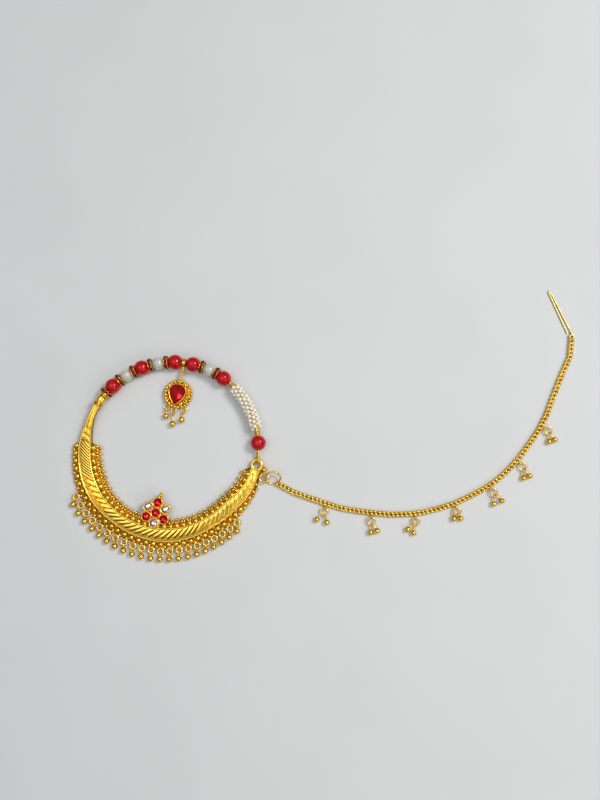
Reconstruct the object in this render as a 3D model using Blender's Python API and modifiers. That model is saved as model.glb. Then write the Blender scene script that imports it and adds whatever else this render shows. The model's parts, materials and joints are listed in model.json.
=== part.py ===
"""Nath nose ring lying flat: beaded hoop, cast crescent with fringe, pendant, curb chain and hair hook.

Sizes are in metres. The hoop's centre is the modelling origin, and the empty at the end carries everything
to the middle of the finished outline, with the floor at height zero.
"""
import math

import bmesh
import bpy
from mathutils import Matrix, Vector

MM = 0.001
MERGE = 0.002 * MM

# Hoop wire and the string of beads on it
HOOP_RADIUS = 26.7 * MM
WIRE_DIAMETER = 0.6 * MM
BORE_DIAMETER = 1.2 * MM
RED_BEAD_DIAMETER = 4.7 * MM
PEARL_DIAMETER = 4.0 * MM
RONDELLE_DIAMETER = 4.2 * MM
RONDELLE_HUB_LENGTH = 0.9 * MM
RONDELLE_RIM_LENGTH = 1.3 * MM
COIL_DIAMETER = 1.8 * MM
COIL_LENGTH = 1.5 * MM
SLEEVE_DIAMETER = 3.8 * MM
SLEEVE_END_DIAMETER = 2.85 * MM
SLEEVE_SHOULDER = 0.95 * MM
SLEEVE_LENGTH = 15.6 * MM
SLEEVE_STATIONS = 4
STRING_GAP = 0.1 * MM
STRING_START_ANGLE = 141.0
BARE_WIRE_LENGTH = 2.46 * MM
WIRE_CLEARANCE = 0.2 * MM
LANE_GAP = 0.1 * MM
HOOP_WIRE_STEPS = 22
WIRE_TURN_STEPS = 6
BEAD_SIDES = 10
BEAD_ARC_STEPS = 5
# What is threaded on the wire, clockwise from the collar
STRING_ORDER = (
    "rondelle", "red_bead", "rondelle", "pearl", "rondelle", "red_bead", "rondelle", "pearl", "rondelle",
    "red_bead", "bail", "red_bead", "rondelle", "pearl", "rondelle", "red_bead", "coil", "seed_bead_sleeve",
    "coil", "red_bead",
)

# Crescent casting. Its arc runs from the collar to the eye's hole, and places on it are shares of that arc.
CRESCENT_WIDTH = 9.0 * MM
RAIL_HEIGHT = 2.02 * MM
RIM_HEIGHT = 1.54 * MM
ARM_LAP = 0.49 * MM
ARM_STEPS = 9
RIM_START = 0.139
RIM_END = 0.992
RIM_UNITS = 35
STEPS_PER_UNIT = 2

# Collar at the end of the crescent's arm, with the wire's socket
COLLAR_LENGTH = 4.3 * MM
COLLAR_RIM_DIAMETER = 2.8 * MM
COLLAR_FLANGE_DIAMETER = 3.0 * MM
COLLAR_BARREL_DIAMETER = 2.6 * MM
COLLAR_NECK_DIAMETER = 1.8 * MM
COLLAR_END_DIAMETER = 1.6 * MM
SOCKET_DEPTH = 2.0 * MM
SOCKET_DIAMETER = 0.9 * MM
SOCKET_FLOOR_GAP = 0.3 * MM
# The collar's profile from the socket's mouth on: a diameter, and its place as a share of its length
COLLAR_STATIONS = (
    ("rim", 0.0), ("rim", 0.09), ("neck", 0.12), ("barrel", 0.2), ("barrel", 0.52), ("neck", 0.6),
    ("flange", 0.68), ("flange", 0.8), ("neck", 0.86), ("end", 1.0),
)

# End eye and side ring of the crescent, with how far they lie back from the eye along the hoop
EYE_DIAMETER = 3.9 * MM
EYE_HOLE_DIAMETER = 2.1 * MM
EYE_THICKNESS = 1.0 * MM
EYE_HEIGHT = 1.4 * MM
SIDE_RING_BACK = 3.12 * MM
SIDE_RING_OFFSET = 3.2 * MM
SIDE_RING_MEAN_DIAMETER = 2.6 * MM
SIDE_RING_WIRE = 0.6 * MM
SIDE_RING_HEIGHT = 1.55 * MM
SIDE_GRANULE_DIAMETER = 2.0 * MM
SIDE_GRANULE_BACK = 0.93 * MM
SIDE_GRANULE_OFFSET = 2.5 * MM

# Fringe: cast rings on the crescent, each with a ball drop
FRINGE_COUNT = 21
FRINGE_START = 0.2915
FRINGE_END = 0.822
FRINGE_RING_MEAN_DIAMETER = 1.8 * MM
FRINGE_RING_WIRE = 0.5 * MM
FRINGE_HEIGHT = 0.9 * MM
FRINGE_SEAT = 0.45 * MM
# Where the drops lie: pulled towards one direction, by no more than a swing from their own ring's
FRINGE_LIE_DIRECTION = 266.0
FRINGE_SWING = 41.0
DROP_EYE_MEAN_DIAMETER = 1.3 * MM
DROP_EYE_WIRE = 0.4 * MM
DROP_LINK_SLACK = 0.08 * MM
DROP_BALL_DIAMETER = 1.8 * MM
DROP_BALL_SINK = 0.3 * MM

# Flower cluster of seven stones
FLOWER_PLACE = 0.549
FLOWER_INSET = 6.6 * MM
FLOWER_FIRST_PETAL = 80.0
FLOWER_PETALS = 6
FLOWER_PITCH = 3.1 * MM
FLOWER_STONE_DIAMETER = 2.6 * MM
BEZEL_WALL = 0.35 * MM
BEZEL_HEIGHT = 1.1 * MM
STONE_CROWN = 0.55 * MM
TABLE_SHARE = 0.55
STONE_SIDES = 10
FINIAL_DIRECTION = 75.0
FINIAL_REACH = 6.5 * MM
FINIAL_WIDTH = 1.7 * MM
FINIAL_TIP_WIDTH = 0.25 * MM
SEAT_GAP = 0.25 * MM

# Pendant, which hangs from its bail between two red beads
PENDANT_HANG = 9.93 * MM
PENDANT_HANG_DIRECTION = -101.4
PENDANT_DIAMETER = 9.1 * MM
PENDANT_THICKNESS = 1.4 * MM
PENDANT_SCALLOPS = 16
PENDANT_SCALLOP_DEPTH = 0.2 * MM
PEAR_LENGTH = 6.5 * MM
PEAR_WIDTH = 5.0 * MM
PEAR_TILT = -11.7
PEAR_POINTS = 14
PEAR_BEZEL_WALL = 0.45 * MM
PEAR_POINT_WALL = 0.585 * MM
PEAR_BEZEL_HEIGHT = 2.1 * MM
BAIL_OUTER_DIAMETER = 2.4 * MM
BAIL_LENGTH = 0.9 * MM
BAIL_STEM_DIAMETER = 0.8 * MM
BAIL_STEM_LAP = 0.82 * MM
PENDANT_RING_MEAN_DIAMETER = 1.6 * MM
PENDANT_RING_WIRE = 0.4 * MM
PENDANT_RING_SEAT = 0.4 * MM
PENDANT_BALL_DIAMETER = 2.0 * MM
# Each drop: where its ring sits on the frame and where it points, in degrees, and its stem as a share
# of the ball
PENDANT_DROPS = (
    {"seat": -131.0, "points": -95.0, "stem": 0.25},
    {"seat": -105.0, "points": -93.0, "stem": 0.95},
    {"seat": -67.0, "points": -104.0, "stem": 0.45},
)

# Jump ring between crescent and chain
JUMP_RING_MEAN_DIAMETER = 4.5 * MM
JUMP_RING_WIRE = 0.4 * MM
JUMP_RING_REACH = 2.76 * MM
JUMP_RING_TILT = 34.0
JUMP_RING_HEIGHT = 1.55 * MM
JUMP_KNOT_DIAMETER = 1.0 * MM
JUMP_KNOT_ANGLE = 50.0
CHAIN_LINK_ANGLE = -58.0

# Chain, its loops and its charms
CHAIN_DIAMETER = 1.7 * MM
CHAIN_POINTS = 25
LOOP_MEAN_DIAMETER = 1.2 * MM
LOOP_WIRE = 0.35 * MM
LOOP_HEIGHT = 0.9 * MM
LOOP_REACH = 0.72 * MM
FIRST_LOOP_HEIGHT = 0.81 * MM
CHARM_RING_MEAN_DIAMETER = 2.35 * MM
CHARM_RING_WIRE = 0.45 * MM
CHARM_BALL_DIAMETER = 1.8 * MM
CHARM_REACH = 3.5 * MM
CHARM_STEM_DIAMETER = 0.5 * MM
CHARM_LOOP_OFFSET = 0.45 * MM
# The chain's route on the floor, in millimetres from its first link on the jump ring
CHAIN_ROUTE_MM = (
    (3.5, -2.1), (8.2, -3.9), (13.8, -5.8), (18.2, -7.3), (24.1, -8.4), (29.9, -9.1), (35.8, -9.6),
    (43.6, -9.1), (48.9, -7.9), (53.8, -6.5), (59.0, -4.2), (64.1, -1.5), (69.3, 2.1), (74.1, 6.9),
    (78.4, 12.3), (82.8, 18.9), (86.0, 26.4), (88.7, 32.8), (91.5, 38.7), (92.8, 42.2), (92.5, 44.4),
)
# Each charm: its place as a share of the chain, the pointing of its two drops, and their reach as a share
CHARMS = (
    {"at": 0.130, "turns": (-135.0, -77.0), "reach": 0.95},
    {"at": 0.246, "turns": (-93.0, -59.0), "reach": 1.0},
    {"at": 0.354, "turns": (-137.0, -102.0), "reach": 1.0},
    {"at": 0.457, "turns": (-115.0, -62.0), "reach": 0.68},
    {"at": 0.556, "turns": (-90.0, -46.0), "reach": 1.0},
    {"at": 0.651, "turns": (-87.0, -54.0), "reach": 1.02},
    {"at": 0.760, "turns": (-87.0, -55.0), "reach": 1.0},
)

# Hair hook of doubled wire
HOOK_LENGTH = 16.0 * MM
HOOK_WIRE = 0.55 * MM
HOOK_TIP_WIDTH = 1.15 * MM
HOOK_BASE_WIDTH = 1.7 * MM
HOOK_EYE_MEAN_DIAMETER = 1.3 * MM
HOOK_EYE_HEIGHT = 0.72 * MM
HOOK_EYE_TURN = 320.0
HOOK_FREE_END = 1.43 * MM
HOOK_NECK = 2.6 * MM
HOOK_DIRECTION = 113.7

# Facets of small round stock
RING_SIDES = 10
RING_WIRE_SIDES = 5
BALL_SIDES = 10
BALL_RINGS = 4
STEM_SIDES = 4

# Colours as linear red, green and blue, then metallic and roughness
FINISHES = {
    "gold_plate": ((0.83, 0.53, 0.09), 1.0, 0.22),
    "pale_brass": ((0.62, 0.52, 0.24), 1.0, 0.3),
    "red_glass": ((0.55, 0.006, 0.012), 0.0, 0.08),
    "pearl": ((0.83, 0.8, 0.74), 0.0, 0.25),
    "white_seed_glass": ((0.87, 0.83, 0.72), 0.0, 0.3),
    "garnet_rondelle": ((0.45, 0.2, 0.03), 0.7, 0.25),
}

# The axis of the string of beads lies half a red bead above the floor
AXIS_HEIGHT = RED_BEAD_DIAMETER / 2

# Crescent sections from the arm to the end. The first column is a share of the crescent's arc. Widths are
# shares of CRESCENT_WIDTH from the hoop's circle, outward positive, foot is a share of AXIS_HEIGHT, and
# height a share of RAIL_HEIGHT and RIM_HEIGHT.
SECTION_COLUMNS = ("place", "inner_tip", "inner_rail", "outer_rail", "outer_tip", "foot", "height")
CRESCENT_SECTIONS = (
    (0.0, -0.095, -0.065, 0.065, 0.095, 0.64, 0.76),
    (0.043, -0.105, -0.075, 0.075, 0.105, 0.52, 0.80),
    (0.083, -0.14, -0.10, 0.10, 0.14, 0.26, 0.90),
    (0.119, -0.18, -0.15, 0.16, 0.19, 0.05, 1.00),
    (0.137, -0.20, -0.16, 0.18, 0.22, 0.0, 1.00),
    (0.145, -0.56, -0.165, 0.20, 0.48, 0.0, 1.00),
    (0.256, -0.55, -0.13, 0.26, 0.60, 0.0, 1.00),
    (0.332, -0.50, -0.12, 0.25, 0.60, 0.0, 1.00),
    (0.409, -0.50, -0.14, 0.20, 0.55, 0.0, 1.00),
    (0.510, -0.54, -0.18, 0.20, 0.49, 0.0, 1.00),
    (0.611, -0.57, -0.23, 0.19, 0.43, 0.0, 1.00),
    (0.754, -0.62, -0.31, 0.05, 0.35, 0.0, 1.00),
    (0.850, -0.64, -0.34, 0.05, 0.34, 0.0, 1.00),
    (0.931, -0.52, -0.17, 0.11, 0.31, 0.0, 1.00),
    (0.957, -0.50, -0.155, 0.115, 0.23, 0.0, 0.95),
    (0.987, -0.46, -0.145, 0.12, 0.20, 0.0, 0.90),
    (1.0, -0.19, -0.14, 0.14, 0.18, 0.0, 0.86),
)

model = bpy.data.collections.new("nath_nose_ring")
materials = {}


def clear_scene():
    for item in list(bpy.data.objects):
        bpy.data.objects.remove(item, do_unlink=True)


def make_materials():
    for name, (colour, metallic, roughness) in FINISHES.items():
        material = bpy.data.materials.new(name)
        material.use_nodes = True
        shader = material.node_tree.nodes["Principled BSDF"]
        shader.inputs["Base Color"].default_value = (*colour, 1.0)
        shader.inputs["Metallic"].default_value = metallic
        shader.inputs["Roughness"].default_value = roughness
        materials[name] = material


def polar(radius, angle, height=0.0):
    """A point at an angle in degrees round the hoop's centre."""
    turn = math.radians(angle)
    return Vector((radius * math.cos(turn), radius * math.sin(turn), height))


def along_hoop(length):
    """The angle in degrees that a length of the hoop takes."""
    return math.degrees(length / HOOP_RADIUS)


def aimed(place, direction, upright=(0.0, 0.0, 1.0)):
    """A matrix whose Z axis runs along direction, and whose Y axis is as near to upright as it can be."""
    z_axis = Vector(direction).normalized()
    x_axis = Vector(upright).cross(z_axis).normalized()
    y_axis = z_axis.cross(x_axis)
    turn = Matrix((x_axis, y_axis, z_axis)).transposed().to_4x4()
    return Matrix.Translation(place) @ turn


def on_hoop(angle):
    """The frame of a piece threaded on the hoop: Z along the wire, X outward."""
    outward = polar(1.0, angle)
    forward = Vector((outward.y, -outward.x, 0.0))
    turn = Matrix((outward, forward.cross(outward), forward)).transposed().to_4x4()
    return Matrix.Translation(polar(HOOP_RADIUS, angle, AXIS_HEIGHT)) @ turn


def place_new(bm, known, matrix):
    fresh = [vert for vert in bm.verts if vert not in known]
    bmesh.ops.transform(bm, matrix=matrix, verts=fresh)


def add_ball(bm, diameter, matrix, sides=BALL_SIDES, rings=BALL_RINGS):
    bmesh.ops.create_uvsphere(bm, u_segments=sides, v_segments=rings, radius=diameter / 2, matrix=matrix)


def add_rod(bm, start, end, diameter, end_diameter=None, sides=STEM_SIDES):
    """A straight rod or cone between two points."""
    if end_diameter is None:
        end_diameter = diameter
    run = end - start
    bmesh.ops.create_cone(
        bm, cap_ends=True, segments=sides, radius1=diameter / 2, radius2=end_diameter / 2,
        depth=run.length, matrix=aimed((start + end) / 2, run),
    )


def add_ring(bm, mean_diameter, wire, matrix, sides=RING_SIDES):
    """A round wire ring about the Z axis of matrix."""
    known = set(bm.verts)
    upright = Matrix.Translation((mean_diameter / 2, 0.0, 0.0)) @ Matrix.Rotation(math.pi / 2, 4, "X")
    section = bmesh.ops.create_circle(bm, segments=RING_WIRE_SIDES, radius=wire / 2, matrix=upright)["verts"]
    edges = {edge for vert in section for edge in vert.link_edges}
    bmesh.ops.spin(
        bm, geom=[*section, *edges], cent=(0, 0, 0), axis=(0, 0, 1), angle=math.tau, steps=sides,
        use_merge=True,
    )
    place_new(bm, known, matrix)


def mesh_from(bm, name):
    """Closes a bmesh into a mesh whose faces point outward."""
    bmesh.ops.recalc_face_normals(bm, faces=bm.faces)
    mesh = bpy.data.meshes.new(name)
    bm.to_mesh(mesh)
    bm.free()
    return mesh


def evaluated_mesh(item):
    """The mesh of an object with its modifiers, placed, and the object removed."""
    graph = bpy.context.evaluated_depsgraph_get()
    mesh = bpy.data.meshes.new_from_object(item.evaluated_get(graph))
    mesh.transform(item.matrix_world)
    bm = bmesh.new()
    bm.from_mesh(mesh)
    bmesh.ops.remove_doubles(bm, verts=bm.verts, dist=MERGE)
    bm.to_mesh(mesh)
    bm.free()
    bpy.data.objects.remove(item, do_unlink=True)
    return mesh


def loose_object(mesh):
    item = bpy.data.objects.new(mesh.name, mesh)
    bpy.context.scene.collection.objects.link(item)
    bpy.context.view_layer.update()
    return item


def fuse(solids):
    """One mesh from overlapping closed meshes."""
    body = loose_object(solids[0])
    tools = [loose_object(solid) for solid in solids[1:]]
    for tool in tools:
        union = body.modifiers.new("union", "BOOLEAN")
        union.operation = "UNION"
        union.solver = "EXACT"
        union.object = tool
    bpy.context.view_layer.update()
    mesh = evaluated_mesh(body)
    for tool in tools:
        bpy.data.objects.remove(tool, do_unlink=True)
    return mesh


def turned_mesh(name, profile, sides, closed):
    """Turns (radius, height) pairs about Z, down the outer side and, if closed, back up a bore."""
    bm = bmesh.new()
    verts = [bm.verts.new((radius, 0.0, height)) for radius, height in profile]
    ends = verts[1:] + verts[:1] if closed else verts[1:]
    for first, second in zip(verts, ends):
        bm.edges.new((first, second))
    outline = bpy.data.meshes.new(name)
    bm.to_mesh(outline)
    bm.free()
    item = loose_object(outline)
    screw = item.modifiers.new("turn", "SCREW")
    screw.steps = sides
    screw.render_steps = sides
    screw.use_merge_vertices = True
    screw.merge_threshold = MERGE
    return evaluated_mesh(item)


def bend_to_hoop(mesh, angle):
    """Bends a straight mesh that runs along Z round the hoop, with its middle at angle."""
    for vert in mesh.vertices:
        x, y, z = vert.co
        vert.co = polar(HOOP_RADIUS + x, angle - along_hoop(z), AXIS_HEIGHT + y)
    return mesh


def wire_mesh(name, points, diameter, resolution):
    """A wire through points, as a curve with filled caps made a mesh."""
    curve = bpy.data.curves.new(name, "CURVE")
    curve.dimensions = "3D"
    curve.bevel_depth = diameter / 2
    curve.bevel_resolution = resolution
    curve.use_fill_caps = True
    spline = curve.splines.new("POLY")
    spline.points.add(len(points) - 1)
    for knot, point in zip(spline.points, points):
        knot.co = (*point, 1.0)
    item = bpy.data.objects.new(name, curve)
    bpy.context.scene.collection.objects.link(item)
    bpy.context.view_layer.update()
    return evaluated_mesh(item)


def finish(name, mesh, finish_name, matrix=None):
    """Names a finished piece and gives it its material and place."""
    if not mesh.materials:
        mesh.materials.append(materials[finish_name])
    mesh.shade_smooth()
    mesh.set_sharp_from_angle(angle=math.radians(35.0))
    item = bpy.data.objects.new(name, mesh)
    if matrix is not None:
        item.matrix_world = matrix
    model.objects.link(item)
    return item


def smooth_route(points, count):
    """Points at even spacing along a smooth curve through the given ones."""
    padded = [points[0] * 2 - points[1], *points, points[-1] * 2 - points[-2]]
    fine = []
    steps = 12
    for before, start, end, after in zip(padded, padded[1:], padded[2:], padded[3:]):
        for step in range(steps):
            t = step / steps
            bend = (before * 2 - start * 5 + end * 4 - after) * t * t
            turn = (start * 3 - before - end * 3 + after) * t * t * t
            fine.append((start * 2 + (end - before) * t + bend + turn) / 2)
    fine.append(points[-1])
    return even_points(fine, count)


def even_points(fine, count):
    """Resamples a fine polyline at even steps of its length."""
    lengths = [0.0]
    for start, end in zip(fine, fine[1:]):
        lengths.append(lengths[-1] + (end - start).length)
    result = []
    index = 0
    for step in range(count):
        target = lengths[-1] * step / (count - 1)
        while index < len(fine) - 2 and lengths[index + 1] < target:
            index += 1
        share = (target - lengths[index]) / (lengths[index + 1] - lengths[index])
        result.append(fine[index].lerp(fine[index + 1], share))
    return result


def route_at(route, share):
    """The point and the direction at a share of an evenly spaced route."""
    place = share * (len(route) - 1)
    index = min(int(place), len(route) - 2)
    point = route[index].lerp(route[index + 1], place - index)
    return point, (route[index + 1] - route[index]).normalized()


# String of beads


def bored_ball_profile(diameter):
    radius = diameter / 2
    bore = BORE_DIAMETER / 2
    start = math.acos(math.sqrt(radius ** 2 - bore ** 2) / radius)
    profile = []
    for step in range(BEAD_ARC_STEPS + 1):
        turn = start + (math.pi - 2 * start) * step / BEAD_ARC_STEPS
        profile.append((radius * math.sin(turn), radius * math.cos(turn)))
    return profile


def bead_length(diameter):
    return math.sqrt(diameter ** 2 - BORE_DIAMETER ** 2)


def string_places():
    """Each kind threaded and its middle's angle, clockwise from the collar, and the angle where they end."""
    lengths = {
        "red_bead": bead_length(RED_BEAD_DIAMETER), "pearl": bead_length(PEARL_DIAMETER),
        "rondelle": RONDELLE_HUB_LENGTH, "coil": COIL_LENGTH, "bail": BAIL_LENGTH,
        "seed_bead_sleeve": SLEEVE_LENGTH,
    }
    places = []
    angle = STRING_START_ANGLE
    for kind in STRING_ORDER:
        places.append((kind, angle - along_hoop(lengths[kind]) / 2))
        angle -= along_hoop(lengths[kind] + STRING_GAP)
    return places, angle


def bail_angle():
    return dict(string_places()[0])["bail"]


def arm_angle():
    """Where the crescent's arm starts, inside the end of the collar."""
    return STRING_START_ANGLE + along_hoop(STRING_GAP * 2 + COLLAR_LENGTH - ARM_LAP)


def eye_angle():
    """The crescent's eye, past the bare end of the hoop wire, with a whole turn added."""
    return 360.0 + string_places()[1] - along_hoop(BARE_WIRE_LENGTH + EYE_DIAMETER / 2)


def crescent_angle(place):
    """The angle at a share of the crescent's arc, which ends at the edge of the eye's hole."""
    end = eye_angle() - along_hoop(EYE_HOLE_DIAMETER / 2)
    return arm_angle() + (end - arm_angle()) * place


def rondelle_profile():
    radius = RONDELLE_DIAMETER / 2
    bore = BORE_DIAMETER / 2
    hub = RONDELLE_HUB_LENGTH / 2
    rim = RONDELLE_RIM_LENGTH / 2
    return [(bore, hub), (radius, rim), (radius, -rim), (bore, -hub)]


def coil_profile():
    radius = COIL_DIAMETER / 2
    bore = SOCKET_DIAMETER / 2
    half = COIL_LENGTH / 2
    return [(bore, half), (radius, half), (radius, -half), (bore, -half)]


def sleeve_profile():
    """Drawn in at both ends to the coils, with stations that let it bend."""
    radius = SLEEVE_DIAMETER / 2
    bore = BORE_DIAMETER / 2
    half = SLEEVE_LENGTH / 2
    shoulder = half - SLEEVE_SHOULDER
    end = SLEEVE_END_DIAMETER / 2
    steps = range(SLEEVE_STATIONS + 1)
    outer = [(radius, shoulder - 2 * shoulder * step / SLEEVE_STATIONS) for step in steps]
    inner = [(bore, 2 * half * step / SLEEVE_STATIONS - half) for step in steps]
    return [(end, half), *outer, (end, -half), *inner]


def make_string():
    """Threads the beads clockwise from the collar; each takes its own length of the hoop."""
    red = turned_mesh("red_bead", bored_ball_profile(RED_BEAD_DIAMETER), BEAD_SIDES, closed=True)
    pearl = turned_mesh("pearl", bored_ball_profile(PEARL_DIAMETER), BEAD_SIDES, closed=True)
    rondelle = turned_mesh("rondelle", rondelle_profile(), BEAD_SIDES, closed=True)
    coil = turned_mesh("coil", coil_profile(), BEAD_SIDES, closed=True)
    sleeve = turned_mesh("seed_bead_sleeve", sleeve_profile(), BEAD_SIDES, closed=True)
    kinds = {
        "red_bead": (red, "red_glass"),
        "pearl": (pearl, "pearl"),
        "rondelle": (rondelle, "garnet_rondelle"),
        "coil": (coil, "gold_plate"),
    }
    counts = {}
    for kind, middle in string_places()[0]:
        counts[kind] = counts.get(kind, 0) + 1
        if kind == "seed_bead_sleeve":
            finish(kind, bend_to_hoop(sleeve, middle), "white_seed_glass")
        elif kind in kinds:
            mesh, finish_name = kinds[kind]
            finish(f"{kind}_{counts[kind]}", mesh, finish_name, on_hoop(middle))


def make_hoop_wire():
    """From the collar's socket round the hoop, over the eye's bar, through the eye and back underneath."""
    string_end = string_places()[1]
    radius = WIRE_DIAMETER / 2
    lane = (WIRE_DIAMETER + LANE_GAP) / 2
    start = STRING_START_ANGLE + along_hoop(STRING_GAP * 2 + SOCKET_DEPTH - SOCKET_FLOOR_GAP)
    points = []
    for step in range(HOOP_WIRE_STEPS + 1):
        angle = start + (string_end - start) * step / HOOP_WIRE_STEPS
        points.append(polar(HOOP_RADIUS, angle, AXIS_HEIGHT))
    bar_outer = eye_angle() - 360.0 + along_hoop(EYE_DIAMETER / 2)
    bar_inner = eye_angle() - 360.0 + along_hoop(EYE_HOLE_DIAMETER / 2)
    clear = along_hoop(radius + WIRE_CLEARANCE)
    low = EYE_HEIGHT - EYE_THICKNESS / 2 - radius - WIRE_CLEARANCE
    middle = (AXIS_HEIGHT + low) / 2
    points.append(polar(HOOP_RADIUS + lane, bar_outer + clear, AXIS_HEIGHT))
    for step in range(WIRE_TURN_STEPS + 1):
        turn = math.pi * step / WIRE_TURN_STEPS
        side = math.cos(turn)
        height = middle + (AXIS_HEIGHT - middle) * side
        points.append(polar(HOOP_RADIUS + lane * side, bar_inner - clear * math.sin(turn), height))
    points.append(polar(HOOP_RADIUS - lane, bar_outer + clear / 2, low))
    points.append(polar(HOOP_RADIUS - lane, string_end - along_hoop(WIRE_DIAMETER), middle))
    finish("hoop_wire", wire_mesh("hoop_wire", points, WIRE_DIAMETER, 1), "gold_plate")


# Crescent


def section_at(place):
    """The crescent's section at a share of its arc, read between the rows of its table."""
    rows = [dict(zip(SECTION_COLUMNS, row)) for row in CRESCENT_SECTIONS]
    for first, second in zip(rows, rows[1:]):
        if place <= second["place"]:
            break
    share = (place - first["place"]) / (second["place"] - first["place"])
    share = min(max(share, 0.0), 1.0)
    return {name: first[name] + (second[name] - first[name]) * share for name in SECTION_COLUMNS}


def rim_tip_radius(place):
    return HOOP_RADIUS + section_at(place)["outer_tip"] * CRESCENT_WIDTH


def section_points(place, inner_wave, outer_wave):
    """Six corners of a section, from the inner foot over both rails to the outer foot."""
    row = section_at(place)
    foot = row["foot"] * AXIS_HEIGHT
    inner_tip = row["inner_rail"] + (row["inner_tip"] - row["inner_rail"]) * inner_wave
    outer_tip = row["outer_rail"] + (row["outer_tip"] - row["outer_rail"]) * outer_wave
    edge = foot + row["height"] * RIM_HEIGHT
    rail = foot + row["height"] * RAIL_HEIGHT
    corners = (
        (inner_tip, foot), (inner_tip, edge), (row["inner_rail"], rail),
        (row["outer_rail"], rail), (outer_tip, edge), (outer_tip, foot),
    )
    angle = crescent_angle(place)
    return [polar(HOOP_RADIUS + width * CRESCENT_WIDTH, angle, height) for width, height in corners]


def crescent_sections():
    """Plain sections along the arm, then a tooth inside and a granule outside in each unit of the rim."""
    inner_waves = (1.0, 0.66)
    outer_waves = (0.86, 1.0)
    sections = [section_points(RIM_START * step / ARM_STEPS, 1.0, 1.0) for step in range(ARM_STEPS)]
    count = RIM_UNITS * STEPS_PER_UNIT
    for step in range(count + 1):
        place = RIM_START + (RIM_END - RIM_START) * step / count
        phase = step % STEPS_PER_UNIT
        sections.append(section_points(place, inner_waves[phase], outer_waves[phase]))
    sections.append(section_points(CRESCENT_SECTIONS[-1][0], 1.0, 1.0))
    return sections


def crescent_band():
    """Lofts the sections and caps both ends."""
    bm = bmesh.new()
    rows = [[bm.verts.new(point) for point in section] for section in crescent_sections()]
    for first, second in zip(rows, rows[1:]):
        for index in range(len(first)):
            after = (index + 1) % len(first)
            bm.faces.new((first[index], first[after], second[after], second[index]))
    bm.faces.new(rows[0])
    bm.faces.new(rows[-1])
    bmesh.ops.triangulate(bm, faces=[face for face in bm.faces if len(face.verts) > 4])
    return mesh_from(bm, "crescent_band")


def collar():
    """Flange, barrel and ring round the end of the arm, with the wire's blind socket."""
    diameters = {
        "rim": COLLAR_RIM_DIAMETER, "flange": COLLAR_FLANGE_DIAMETER, "barrel": COLLAR_BARREL_DIAMETER,
        "neck": COLLAR_NECK_DIAMETER, "end": COLLAR_END_DIAMETER,
    }
    socket = SOCKET_DIAMETER / 2
    half = COLLAR_LENGTH / 2
    profile = [(0.0, half - SOCKET_DEPTH), (socket, half - SOCKET_DEPTH), (socket, half)]
    profile += [(diameters[name] / 2, half - COLLAR_LENGTH * share) for name, share in COLLAR_STATIONS]
    profile.append((0.0, -half))
    mesh = turned_mesh("collar", profile, BEAD_SIDES, closed=False)
    middle = STRING_START_ANGLE + along_hoop(STRING_GAP * 2 + COLLAR_LENGTH / 2)
    return bend_to_hoop(mesh, middle)


def end_eye():
    outer = EYE_DIAMETER / 2
    hole = EYE_HOLE_DIAMETER / 2
    half = EYE_THICKNESS / 2
    profile = [(outer, half), (outer, -half), (hole, -half), (hole, half)]
    mesh = turned_mesh("end_eye", profile, BEAD_SIDES + 2, closed=True)
    mesh.transform(Matrix.Translation(polar(HOOP_RADIUS, eye_angle(), EYE_HEIGHT)))
    return mesh


def side_ring_centre():
    return polar(HOOP_RADIUS + SIDE_RING_OFFSET, eye_angle() - along_hoop(SIDE_RING_BACK), SIDE_RING_HEIGHT)


def side_ring():
    bm = bmesh.new()
    add_ring(bm, SIDE_RING_MEAN_DIAMETER, SIDE_RING_WIRE, Matrix.Translation(side_ring_centre()))
    return mesh_from(bm, "side_ring")


def side_granule():
    bm = bmesh.new()
    angle = eye_angle() - along_hoop(SIDE_GRANULE_BACK)
    place = polar(HOOP_RADIUS + SIDE_GRANULE_OFFSET, angle, EYE_HEIGHT)
    add_ball(bm, SIDE_GRANULE_DIAMETER, Matrix.Translation(place))
    return mesh_from(bm, "side_granule")


def fringe_places():
    """The angle and the centre of each cast ring of the fringe."""
    outer = (FRINGE_RING_MEAN_DIAMETER + FRINGE_RING_WIRE) / 2
    places = []
    for index in range(FRINGE_COUNT):
        place = FRINGE_START + (FRINGE_END - FRINGE_START) * index / (FRINGE_COUNT - 1)
        radius = rim_tip_radius(place) + outer - FRINGE_SEAT
        places.append((crescent_angle(place), polar(radius, crescent_angle(place), FRINGE_HEIGHT)))
    return places


def fringe_rings():
    bm = bmesh.new()
    for angle, centre in fringe_places():
        turn = Matrix.Rotation(math.radians(angle), 4, "Z")
        add_ring(bm, FRINGE_RING_MEAN_DIAMETER, FRINGE_RING_WIRE, Matrix.Translation(centre) @ turn)
    return mesh_from(bm, "fringe_rings")


def make_crescent():
    mesh = fuse([crescent_band(), collar(), end_eye(), side_ring(), side_granule(), fringe_rings()])
    finish("crescent", mesh, "gold_plate")


# Drops


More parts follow.
